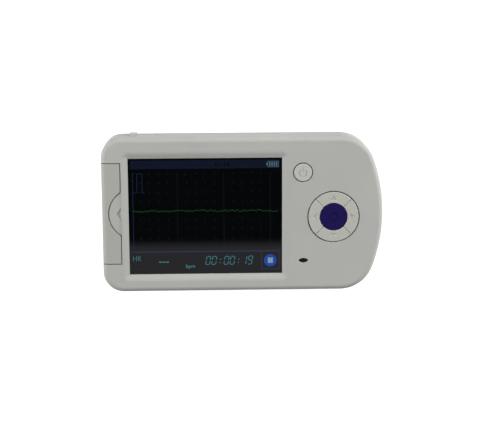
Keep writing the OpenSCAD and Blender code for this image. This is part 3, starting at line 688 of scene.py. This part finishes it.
def windowRoll():
    # cutter for the rolled edge: a round-cornered opening drawn in step by step
    width, depth, bend = body["bezelWidth"], body["bezelDepth"], body["bezelBend"]
    slope = depth / (width - bend / 2)
    quarter, steps = math.pi / 2, body["bendSteps"]
    corners = [(windowHigh.x, windowHigh.y), (windowLow.x, windowHigh.y),
               (windowLow.x, windowLow.y), (windowHigh.x, windowLow.y)]
    arcs = [(x, y, width, quarter * i, quarter * (i + 1), 10) for i, (x, y) in enumerate(corners)]
    bm = bmesh.new()
    reach, level = width, bodyHigh.z + 2
    faces = arcLoop(bm, arcs, level)
    # the bend eases into a straight slope down to the lens
    stops = [(width - bend * i / steps, bodyHigh.z - slope * bend * (i / steps) ** 2 / 2)
             for i in range(steps + 1)]
    stops += [(body["bezelEnd"], bodyHigh.z - depth), (body["bezelEnd"], bodyHigh.z - 3)]
    for index, (out, z) in enumerate(stops):
        raised = bmesh.ops.extrude_face_region(bm, geom=faces)
        if index:
            bmesh.ops.delete(bm, geom=faces, context="FACES_ONLY")
        faces = [f for f in raised["geom"] if isinstance(f, bmesh.types.BMFace)]
        moved = [v for v in raised["geom"] if isinstance(v, bmesh.types.BMVert)]
        for x, y in corners:
            near = [v for v in moved if (v.co.x - windowMiddle.x) * (x - windowMiddle.x) > 0
                    and (v.co.y - windowMiddle.y) * (y - windowMiddle.y) > 0]
            bmesh.ops.scale(bm, verts=near, vec=(out / reach, out / reach, 1),
                            space=Matrix.Translation((-x, -y, 0)))
        bmesh.ops.translate(bm, verts=moved, vec=(0, 0, z - level))
        reach, level = out, z
    bmesh.ops.recalc_face_normals(bm, faces=bm.faces)
    return addObject("windowRoll", bm)


wedgeLean = {"slope": 0.8, "least": 0.12}


def wedge(x, y, base, length, width, low, top, turn):
    # triangular cutter that points along the turn angle, with sides that lean out to its mouth at top
    reach = length * width / (width + 2 * math.hypot(length, width / 2))
    keep = max(wedgeLean["least"], (reach - wedgeLean["slope"] * (top - low)) / reach)
    bm = bmesh.new()
    corners = ((base, -width / 2, low), (base + length, 0, low), (base, width / 2, low))
    floor = bmesh.ops.contextual_create(bm, geom=[bm.verts.new(corner) for corner in corners])["faces"]
    raiseFaces(bm, floor, top - low + 1)
    bmesh.ops.bisect_plane(bm, geom=bm.verts[:] + bm.edges[:] + bm.faces[:],
                           plane_co=(0, 0, top), plane_no=(0, 0, 1))
    bmesh.ops.scale(bm, verts=[v for v in bm.verts if v.co.z < low + 0.001], vec=(keep, keep, 1),
                    space=Matrix.Translation((-base - reach, 0, 0)))
    bmesh.ops.recalc_face_normals(bm, faces=bm.faces)
    turnAbout(bm, bm.verts, turn)
    shift(bm, x, y, 0)
    return addObject("wedge", bm)


def soundOpening():
    bm = flaredBore(1, bodyHigh.z - 4, bodyHigh.z, body["soundFlare"], 0, 0, 64)
    bmesh.ops.scale(bm, verts=bm.verts, vec=(body["soundWidth"] / 2, body["soundHeight"] / 2, 1))
    shift(bm, soundX, soundY, 0)
    return addObject("soundOpening", bm)


def tube(bore, outer, low, high, x, y):
    steps = 96 if outer > 4 else 40
    wall = lathe([(bore, low), (outer, low), (outer, high), (bore, high), (bore, low)], x, y, steps)
    return addObject("tube", wall)


def upperSideBlock(name, corners):
    return addObject(name, block(*[(x, halfWidth + y, z) for x, y, z in corners]))


def buildFrontShell():
    # cutters reach well past the body
    shell = bodySlab()
    top, wall, split = bodyHigh.z, body["wall"], body["splitHeight"]
    cut(shell,
        addObject("cavity", upright(wall, -5, top - wall)),
        addObject("below", block((-90, -60, -6), (90, 60, split))),
        addObject("rebate", upright(wall / 2, split - 1, split + body["rebate"])))
    tubes = [("post", x, y) for x, y in body["screwPosts"]]
    tubes += [("keysRib", navX, navY), ("powerRib", powerX, powerY), ("chimney", soundX, soundY)]
    for kind, x, y in tubes:
        bore, outer, foot = body[kind]
        combine(shell, tube(bore, outer, foot, top - wall + 0.1, x, y), "UNION")
    play = body["lensPlay"]
    seat = block((lensLow.x - play, lensLow.y - play, top - wall - 1),
                 (lensHigh.x + play, lensHigh.y + play, lensHigh.z), body["lensRound"] + play)
    cut(shell, windowRoll(), addObject("lensSeat", seat))
    for kind, x, y, steps in (("keys", navX, navY, 160), ("power", powerX, powerY, 96)):
        bore = flaredBore(body[kind + "Opening"], top - 4, top, body[kind + "Flare"], x, y, steps)
        cut(shell, addObject(kind + "Opening", bore))
    cut(shell, soundOpening(), doorSpace(0))
    rest, radius = top - body["thumbSink"], body["thumbSinkRadius"]
    sink = addObject("thumbSink", lathe([(0, rest), (radius, rest), (radius, top + 2), (0, top + 2)],
                                        body["thumbX"], body["doorMiddle"], 128))
    combine(sink, addObject("strip", block((-90, -40, 0), (body["doorEdge"], 40, 40))), "INTERSECT")
    cut(shell, sink,
        wedge(body["doorEdge"], body["doorMiddle"], 0, body["arrowLength"], body["arrowWidth"],
              rest - body["arrowDepth"], rest, 180),
        upperSideBlock("flapSeat", body["flapSeat"]),
        upperSideBlock("portOpening", body["portOpening"]))
    finishPiece(shell, "frontShell", "casePlastic", "root", ["front_cover"], body["soften"])


def buildDoorShell():
    shell = bodySlab()
    wall, inset = body["wall"], body["tongueInset"]
    cut(shell, addObject("cavity", upright(wall, wall, bodyHigh.z - wall)))
    combine(shell, doorSpace(body["doorGap"]), "INTERSECT")
    low, high = nodeBox("battery_door")
    tongue = block((bodyLow.x + wall - inset, low.y + inset, body["tongueLow"]),
                   (high.x, high.y - inset, body["tongueHigh"]), body["tongueRound"])
    combine(shell, addObject("tongue", tongue), "UNION")
    finishPiece(shell, "doorShell", "doorPlastic", "door", ["battery_door"], body["soften"])


buildFrontShell()
buildDoorShell()
finishPiece(copyOfNode("rear_cover"), "rearShell", "backPlastic", "root", ["rear_cover"],
            0.1, 2)
print("shells built")

# keys

keys = {
    "sectorGap": 0.1, "outer": 11.6, "inner": 6.47, "ringSegments": 96, "cornerRound": 0.25,
    "okRadius": 6.24, "powerRadius": 4.1, "round": 0.26, "dome": 0.06, "domeSteps": 8,
    "height": 20.3, "ringFoot": 17.9,
    # radius, underside and top of the flange under a round key
    "okFlange": (7.0, 15.3, 16.1), "powerFlange": (5.0, 16.9, 17.9),
    "arrowBase": 7.6, "arrowHeight": 2.3, "arrowWidth": 3.6, "arrowDepth": 0.25,
    "diamond": 2.35, "line": 0.6, "markDepth": 0.28,
    "standbyRadius": 1.65, "standbyOpening": 1.9, "standbyDrop": 0.25,
    "standbyBar": (0.1, 3.0), "barTaper": (0.45, 0.9, 1),
}


def buildDirectionKey(name, turn):
    # a quarter of the ring, with rounded corners and a rounded top edge
    low, high = keys["ringFoot"], keys["height"]
    bm = bmesh.new()
    rings = [bmesh.ops.create_circle(bm, segments=keys["ringSegments"], radius=keys[side])["verts"]
             for side in ("outer", "inner")]
    rim = list({e for v in rings[0] + rings[1] for e in v.link_edges})
    bmesh.ops.bridge_loops(bm, edges=rim)
    for side in (1, -1):
        # keep the quarter about +X, drawn in by half of the gap between neighbours
        bmesh.ops.bisect_plane(bm, geom=bm.verts[:] + bm.edges[:] + bm.faces[:],
                               plane_co=(keys["sectorGap"] / math.sqrt(2), 0, 0),
                               plane_no=(-1, side, 0), clear_outer=True)
    shift(bm, 0, 0, low)
    raiseFaces(bm, bm.faces[:], high - low)
    corners = [e for e in uprightEdges(bm, 1) if len(e.link_faces) == 2
               and e.calc_face_angle() > math.radians(40)]
    roundEdges(bm, corners, keys["cornerRound"], 4)
    top = [e for e in edgesAt(bm, high) if any(abs(f.normal.z) < 0.5 for f in e.link_faces)]
    roundEdges(bm, top, keys["round"], 6)
    turnAbout(bm, bm.verts, turn)
    shift(bm, navX, navY, 0)
    key = addObject(name, bm)
    cut(key, wedge(navX, navY, keys["arrowBase"], keys["arrowHeight"], keys["arrowWidth"],
                   high - keys["arrowDepth"], high, turn))
    return key


def buildRoundKey(name, radius, flange, x, y):
    top, edge, steps = keys["height"], keys["round"], keys["domeSteps"]
    flangeRadius, flangeLow, flangeHigh = flange
    # the top is very slightly hollowed for the finger tip
    crown = [((radius - edge) * (1 - i / steps), top - keys["dome"] * (1 - math.cos(math.pi / 2 * i / steps)))
             for i in range(1, steps + 1)]
    rim = quarterArc(radius - edge, top - edge, edge, 0, 90, 6)
    profile = [(0, flangeLow), (flangeRadius, flangeLow), (flangeRadius, flangeHigh),
               (radius, flangeHigh)] + rim + crown
    return addObject(name, lathe(profile, x, y, 128))


def groove(radius):
    # lathe profile of an engraved line, whose sides lean out to its mouth
    half, slim, top = keys["line"] / 2, keys["line"] / 5, keys["height"]
    floor = top - keys["markDepth"]
    return [(radius - half, top), (radius - slim, floor), (radius + slim, floor), (radius + half, top),
            (radius + half, top + 1), (radius - half, top + 1), (radius - half, top)]


def standbyCutter():
    top, line = keys["height"], keys["line"]
    low = top - keys["markDepth"]
    half = keys["standbyOpening"] / 2
    barFoot, barTop = (powerY + end for end in keys["standbyBar"])
    y = powerY - keys["standbyDrop"]
    mark = addObject("standby", lathe(groove(keys["standbyRadius"]), powerX, y, 64))
    opening = block((powerX - half, y, low - 1), (powerX + half, y + 3, top + 2))
    cut(mark, addObject("opening", opening))
    bar = block((powerX - line / 2, barFoot, low), (powerX + line / 2, barTop, top + 1))
    bmesh.ops.scale(bar, verts=[v for v in bar.verts if v.co.z < low + 0.01], vec=keys["barTaper"],
                    space=Matrix.Translation((-powerX, -(barFoot + barTop) / 2, 0)))
    combine(mark, addObject("bar", bar), "UNION")
    return mark


def buildKeys():
    for side, turn in (("right", 0), ("up", 90), ("left", 180), ("down", 270)):
        key = buildDirectionKey(side, turn)
        finishPiece(key, side + "KeyCap", "keyPlastic", side + "_button", [side + "_key"])
    okKey = buildRoundKey("ok", keys["okRadius"], keys["okFlange"], navX, navY)
    cut(okKey, addObject("diamond", lathe(groove(keys["diamond"]), navX, navY, 4)))
    finishPiece(okKey, "okKeyCap", "okPlastic", "ok_button", ["ok_key"])
    powerKey = buildRoundKey("power", keys["powerRadius"], keys["powerFlange"], powerX, powerY)
    cut(powerKey, standbyCutter())
    finishPiece(powerKey, "powerKeyCap", "powerPlastic", "power_button", ["power_key"])


buildKeys()
print("keys built")

# window and screen picture

screen = {
    "ground": 17.13, "picture": 17.16, "thin": 0.02, "shift": (-0.24, 0.24, 0),
    "groundInset": (1, 2), "groundCuts": 8, "bar": (-51.4, 17.4, 21.0, 25.0), "barCuts": 4,
}


def plate(bm, x0, x1, y0, y1, z):
    made = bmesh.ops.create_grid(bm, x_segments=1, y_segments=1, size=0.5)["verts"]
    bmesh.ops.scale(bm, verts=made, vec=(x1 - x0, y1 - y0, 1))
    bmesh.ops.translate(bm, verts=made, vec=((x0 + x1) / 2, (y0 + y1) / 2, z))
    return made


def picturePiece(name, bm, material, shifted=True):
    if shifted:
        shift(bm, *screen["shift"])
    bmesh.ops.recalc_face_normals(bm, faces=bm.faces)
    for face in bm.faces:
        if face.normal.z < 0:
            face.normal_flip()
    finishPiece(addObject(name, bm), name, material, "root")


def layGround(name, material, sides, z, cuts, shifted):
    bm = bmesh.new()
    plate(bm, *sides, z)
    bmesh.ops.subdivide_edges(bm, edges=bm.edges, cuts=cuts, use_grid_fill=True)
    picturePiece(name, bm, material, shifted)


plates = {
    # piece: (finish, lift over the picture, line half width, (left, right, foot, top) of each plate)
    "panelLines": ("panelGrey", 0, 0, (
        (-51.4, 17.4, -18.25, -17.65), (8.8, 9.15, -26.5, -17.95), (16.9, 17.25, -26.5, -17.95),
        (8.8, 17.25, -26.7, -26.35))),
    # foot hook, upright and head hook, then the test pulse
    "calibrationMark": ("calibrationBlue", 0, 0.1, (
        (-50.35, -49.4, -15.8, -15.8), (-50.35, -50.35, -15.8, 18.85), (-50.35, -49.6, 18.85, 18.85),
        (-50.2, -48.4, 9.95, 9.95), (-48.4, -48.4, 9.95, 18.85), (-48.4, -46.0, 18.85, 18.85),
        (-46.0, -46.0, 9.95, 18.85), (-46.0, -45.0, 9.95, 9.95))),
    "rateDashes": ("dashTeal", 0, 0, (
        (-38.7, -37.5, -23.1, -22.6), (-37.05, -35.85, -23.1, -22.6), (-35.4, -34.2, -23.1, -22.6))),
    "saveIconMark": ("iconWhite", 0.02, 0, (
        (11.9, 12.85, -23.75, -21.1), (13.25, 14.2, -23.75, -21.1), (12.85, 13.25, -23.75, -21.6))),
    "batteryOutline": ("iconSilver", 0.02, 0, (
        (11.8, 16.9, 21.5, 21.75), (11.8, 16.9, 24.05, 24.3), (16.65, 16.9, 21.5, 24.3),
        (11.8, 12.05, 21.5, 24.3), (11.2, 11.8, 22.3, 23.5))),
    "batteryBars": ("iconCyan", 0.02, 0, (
        (12.5, 13.1, 22.0, 23.8), (13.55, 14.15, 22.0, 23.8), (14.6, 15.2, 22.0, 23.8),
        (15.65, 16.25, 22.0, 23.8))),
}


def layPlates(name):
    material, lift, half, places = plates[name]
    bm = bmesh.new()
    for x0, x1, y0, y1 in places:
        plate(bm, x0 - half, x1 + half, y0 - half, y1 + half, screen["picture"] + lift)
    picturePiece(name, bm, material)


grid = {
    "columns": 16, "pitchX": 4.29, "rows": 9, "pitchY": 4.33, "top": 18.8, "dot": 0.36,
    # every fifth column is a line of dashes; the first of these stands at lineX
    "lineEvery": 5, "lineX": -29.86, "dashes": 54, "dashPitch": 0.645, "dashHalfX": 0.1, "dashHalfY": 0.15,
}


def buildGrid():
    bm = bmesh.new()
    dots = (grid["rows"], grid["pitchY"], grid["dot"] / 2, grid["dot"] / 2)
    dashes = (grid["dashes"], grid["dashPitch"], grid["dashHalfX"], grid["dashHalfY"])
    for column in range(1, grid["columns"]):
        x = grid["lineX"] + (column - grid["lineEvery"]) * grid["pitchX"]
        count, pitch, halfX, halfY = dots if column % grid["lineEvery"] else dashes
        for row in range(count):
            y = grid["top"] - row * pitch
            plate(bm, x - halfX, x + halfX, y - halfY, y + halfY, screen["picture"])
    picturePiece("gridMarks", bm, "gridOlive")


def strip(bm, points, thick, z):
    # flat line drawn point by point
    first = [bm.verts.new((points[0][0], points[0][1] + side * thick / 2, z)) for side in (-1, 1)]
    edge = bmesh.ops.contextual_create(bm, geom=first)["edges"]
    for (x0, y0), (x1, y1) in zip(points, points[1:]):
        grown = bmesh.ops.extrude_edge_only(bm, edges=edge)["geom"]
        edge = [g for g in grown if isinstance(g, bmesh.types.BMEdge)]
        moved = [g for g in grown if isinstance(g, bmesh.types.BMVert)]
        bmesh.ops.translate(bm, verts=moved, vec=(x1 - x0, y1 - y0, 0))


trace = {
    "seed": 7, "left": -50.9, "right": 17.0, "step": 0.5, "thick": 0.28,
    "height": 1.42, "fall": 0.0034, "fallFrom": -50.6,
    "sway": 0.2, "quick": 0.9, "slow": 0.31, "jitter": 0.55,
}


def buildTrace():
    dice = random.Random(trace["seed"])
    points = []
    x = trace["left"]
    while x < trace["right"]:
        sway = trace["sway"] * math.sin(x * trace["quick"]) * math.sin(x * trace["slow"] + 1)
        wander = sway + dice.uniform(-trace["jitter"], trace["jitter"])
        points.append((x, trace["height"] - (x - trace["fallFrom"]) * trace["fall"] + wander))
        x += trace["step"]
    bm = bmesh.new()
    strip(bm, points, trace["thick"], screen["picture"] + screen["thin"])
    picturePiece("traceLine", bm, "traceGreen")


words = {
    # piece: (words, left, foot, height, width, finish, how far the letters are thinned)
    "rateLabel": ("HR", -50.75, -22.3, 2.45, 3.65, "labelTeal", 0.26),
    "rateUnit": ("bpm", -26.2, -26.3, 2.3, 4.1, "unitTeal", 0.2),
    "clockDigits": ("01:54", -12.3, 21.95, 1.9, 6.5, "clockDark", 0.0),
}


def setWords(name):
    # words set in the plain built-in letters, then fitted to a place on the screen
    letters, x, y, height, width, material, thinner = words[name]
    curve = bpy.data.curves.new(name, "FONT")
    curve.body = letters
    curve.size = 10
    curve.offset = -thinner
    curve.resolution_u = 3
    holder = bpy.data.objects.new(name + "Curve", curve)
    bpy.context.scene.collection.objects.link(holder)
    depsgraph = bpy.context.evaluated_depsgraph_get()
    depsgraph.update()
    mesh = bpy.data.meshes.new_from_object(holder.evaluated_get(depsgraph), depsgraph=depsgraph)
    bpy.data.objects.remove(holder)
    bm = bmesh.new()
    bm.from_mesh(mesh)
    bpy.data.meshes.remove(mesh)
    lows = [min(v.co[i] for v in bm.verts) for i in (0, 1)]
    highs = [max(v.co[i] for v in bm.verts) for i in (0, 1)]
    shift(bm, -lows[0], -lows[1], 0)
    bmesh.ops.scale(bm, verts=bm.verts, vec=(width / (highs[0] - lows[0]), height / (highs[1] - lows[1]), 1))
    shift(bm, x, y, screen["picture"] + screen["thin"])
    picturePiece(name, bm, material)


digits = {
    "height": 4.15, "width": 2.2, "pitch": 2.77, "thick": 0.33, "lean": 0.17, "left": -17.32, "base": -24.35,
    "reading": "00:00:19", "lit": {"0": "abcdef", "1": "bc", "9": "abcdfg"}, "colonGap": 0.15,
    # left, right, foot and top of the colon's two dots, from the middle of a digit's foot
    "colon": ((-0.05, 0.35, 0.78, 1.22), (-0.05, 0.35, 2.38, 2.82)),
}


def segmentBar(bm, length, thick):
    # six-sided lit bar of a segment digit, lying along X
    made = bmesh.ops.create_circle(bm, segments=6, radius=1, cap_ends=True)["verts"]
    for v in made:
        sideways = 1 if v.co.x > 0 else -1
        if abs(v.co.y) > 0.1:
            v.co = (sideways * (length / 2 - thick / 2), math.copysign(thick / 2, v.co.y), 0)
        else:
            v.co = (sideways * length / 2, 0, 0)
    return made


def buildTimer():
    h, w, t = digits["height"], digits["width"], digits["thick"]
    level, rise = w - t * 1.5, h / 2 - t
    # segment: middle x, middle y, length, turn
    places = {
        "a": (w / 2, h - t / 2, level, 0), "g": (w / 2, h / 2, level, 0), "d": (w / 2, t / 2, level, 0),
        "f": (t / 2, h * 0.75, rise, 90), "b": (w - t / 2, h * 0.75, rise, 90),
        "e": (t / 2, h * 0.25, rise, 90), "c": (w - t / 2, h * 0.25, rise, 90),
    }
    bm = bmesh.new()
    for index, sign in enumerate(digits["reading"]):
        x = digits["left"] + index * digits["pitch"] + (digits["colonGap"] if index > 2 else 0)
        made = []
        if sign == ":":
            for x0, x1, y0, y1 in digits["colon"]:
                made += plate(bm, w / 2 + x0, w / 2 + x1, y0, y1, 0)
        else:
            for segment in digits["lit"][sign]:
                middleX, middleY, length, turn = places[segment]
                bar = segmentBar(bm, length, t)
                turnAbout(bm, bar, turn)
                bmesh.ops.translate(bm, verts=bar, vec=(middleX, middleY, 0))
                made += bar
        for v in made:
            v.co.x += v.co.y * digits["lean"] + x
            v.co.y += digits["base"]
            v.co.z = screen["picture"]
    picturePiece("timerDigits", bm, "readingTeal")


saveIcon = {"x": 13.0, "y": -22.5, "radius": 2.9}


def buildSaveIcon():
    bm = bmesh.new()
    bmesh.ops.create_circle(bm, cap_ends=True, segments=64, radius=saveIcon["radius"])
    shift(bm, saveIcon["x"], saveIcon["y"], screen["picture"])
    picturePiece("saveIcon", bm, "iconBlue")


low, high = nodeBox("lcd_panel")
insetX, insetY = screen["groundInset"]
layGround("screenGround", "displayGround", (low.x + insetX, high.x - insetX, low.y + insetY, high.y - insetY),
          screen["ground"], screen["groundCuts"], False)
layGround("titleBar", "titleBlue", screen["bar"], screen["picture"], screen["barCuts"], True)
layPlates("panelLines")
buildGrid()
buildTrace()
layPlates("calibrationMark")
for name in words:
    setWords(name)
layPlates("rateDashes")
buildTimer()
buildSaveIcon()
for name in ("saveIconMark", "batteryOutline", "batteryBars"):
    layPlates(name)
lens = addObject("lens", block(tuple(lensLow), tuple(lensHigh), body["lensRound"]))
finishPiece(lens, "windowLens", "windowGlass", "root", ["window_lens"], 0.12, 2)
print("window and screen picture built")

# flap, electrodes, cells and small parts

pullTab = {"width": 3.5, "inset": 0.2, "out": 1.2, "sink": 0.3, "low": 0.1, "round": 0.35, "soften": 0.12}


def buildFlap():
    # the flap with a square-shouldered pull tab over its rounded one
    skin = copyOfNode("port_flap")
    low, high = nodeBox("port_flap")
    left = low.x + pullTab["inset"]
    tab = block((left, halfWidth - pullTab["sink"], low.z + pullTab["low"]),
                (left + pullTab["width"], halfWidth + pullTab["out"], high.z - pullTab["low"]),
                pullTab["round"])
    combine(skin, addObject("tab", tab), "UNION")
    finishPiece(skin, "portFlapSkin", "flapRubber", "flap", ["port_flap"], pullTab["soften"])


softened = {
    # node: (piece, finish, slot, edge rounding)
    "palm_electrode": ("palmElectrode", "electrodeSteel", "electrode_steel", 0.15),
    "index_electrode": ("indexElectrode", "electrodeSteel", "electrode_steel", 0.15),
    "middle_electrode": ("middleElectrode", "electrodeSteel", "electrode_steel", 0.15),
    "case_screws": ("caseScrews", "screwSteel", "screw_steel", 0.08),
    "blank_label": ("backLabel", "labelFilm", "label_film", 0.04),
}

buildFlap()
for node, (piece, material, slot, soften) in softened.items():
    finishPiece(copyOfNode(node), piece, material, "root", [node], soften)

cells = {
    "radius": 5.25, "rim": 0.4, "lip": 4.1, "shoulder": 1.0, "sink": 0.5, "steps": 72,
    "band": (35.5, 42.3), "bandLift": 0.015, "bandSink": 0.1,
    "plateRadius": 4.0, "plate": (0.1, 0.55), "capFoot": 0.6, "capTop": 0.2, "capRise": 0.1,
    "nub": 2.2, "nubFoot": 2.7, "nubRound": 0.35,
}


def layCell(profile, low, high, towards):
    # a turned piece of a cell, laid across the body with its nub towards +Y or -Y
    bm = lathe(profile, 0, 0, cells["steps"])
    turnAbout(bm, bm.verts, -90 * towards, "X")
    start = low.y if towards > 0 else high.y
    shift(bm, (low.x + high.x) / 2, start, (low.z + high.z) / 2)
    return addObject("cell", bm)


def buildCells():
    radius, rim, lip, sink = cells["radius"], cells["rim"], cells["lip"], cells["sink"]
    plateEdge, (plateLow, plateTop) = cells["plateRadius"], cells["plate"]
    outside, inside = radius + cells["bandLift"], radius - cells["bandSink"]
    foot, top = cells["band"]
    nubRound = cells["nubRound"]
    for node, towards in (("battery_front", 1), ("battery_rear", -1)):
        low, high = nodeBox(node)
        length = high.y - low.y
        end = length - cells["shoulder"]
        sleeve = ([(0, sink), (lip, sink), (lip, 0)] + quarterArc(radius - rim, rim, rim, -90, 0)
                  + quarterArc(radius - rim, end - rim, rim, 0, 90)
                  + [(lip, end), (lip, end - sink), (0, end - sink)])
        band = [(inside, foot), (outside, foot), (outside, top), (inside, top), (inside, foot)]
        base = [(0, plateLow), (plateEdge, plateLow), (plateEdge, plateTop), (0, plateTop)]
        cap = ([(0, end - cells["capFoot"]), (plateEdge, end - cells["capFoot"]),
                (plateEdge, end - cells["capTop"]), (cells["nubFoot"], end - cells["capRise"])]
               + quarterArc(cells["nub"] - nubRound, length - nubRound, nubRound, 0, 90) + [(0, length)])
        sleeve, band, base, cap = [layCell(profile, low, high, towards)
                                   for profile in (sleeve, band, base, cap)]
        combine(base, cap, "UNION")
        name = node.replace("battery_", "") + "Cell"
        finishPiece(sleeve, name + "Sleeve", "cellJacket", "root", [node])
        finishPiece(band, name + "Band", "cellBand", "root")
        finishPiece(base, name + "Ends", "nickelContact", "root")


buildCells()

nodeFinish = {
    # finish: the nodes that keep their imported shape
    "blackFoam": "lens_gasket sounder_seal", "displayBlack": "lcd_panel", "lightGuide": "lcd_backlight",
    "innerPlastic": "display_carrier", "flexFilm": "display_ribbon", "socketPlastic": "ribbon_socket",
    "boardGreen": "main_board", "tinnedSteel": "signal_shield clock_crystal",
    "chipBlack": "processor_chip memory_chip", "fireCeramic": "small_components",
    "nickelContact": "data_port battery_springs battery_plates", "keypadRubber": "keypad_mat",
    "switchBlack": "key_switches sounder", "acousticMesh": "sound_mesh",
    "goldContact": "electrode_springs", "screwSteel": "board_screws",
}
for key in ("power", "ok", "up", "left", "down", "right"):
    nodeFinish["keypadRubber"] += f" {key}_plunger"
    nodeFinish["switchBlack"] += f" {key}_actuator"
for material, names in nodeFinish.items():
    for name in names.split():
        mesh = nodes[name].data
        if not mesh.materials:
            mesh.materials.append(None)
        for index in range(len(mesh.materials)):
            mesh.materials[index] = finish[material]
print("small parts dressed")

view = bpy.context.scene.view_settings
view.view_transform = "Standard"
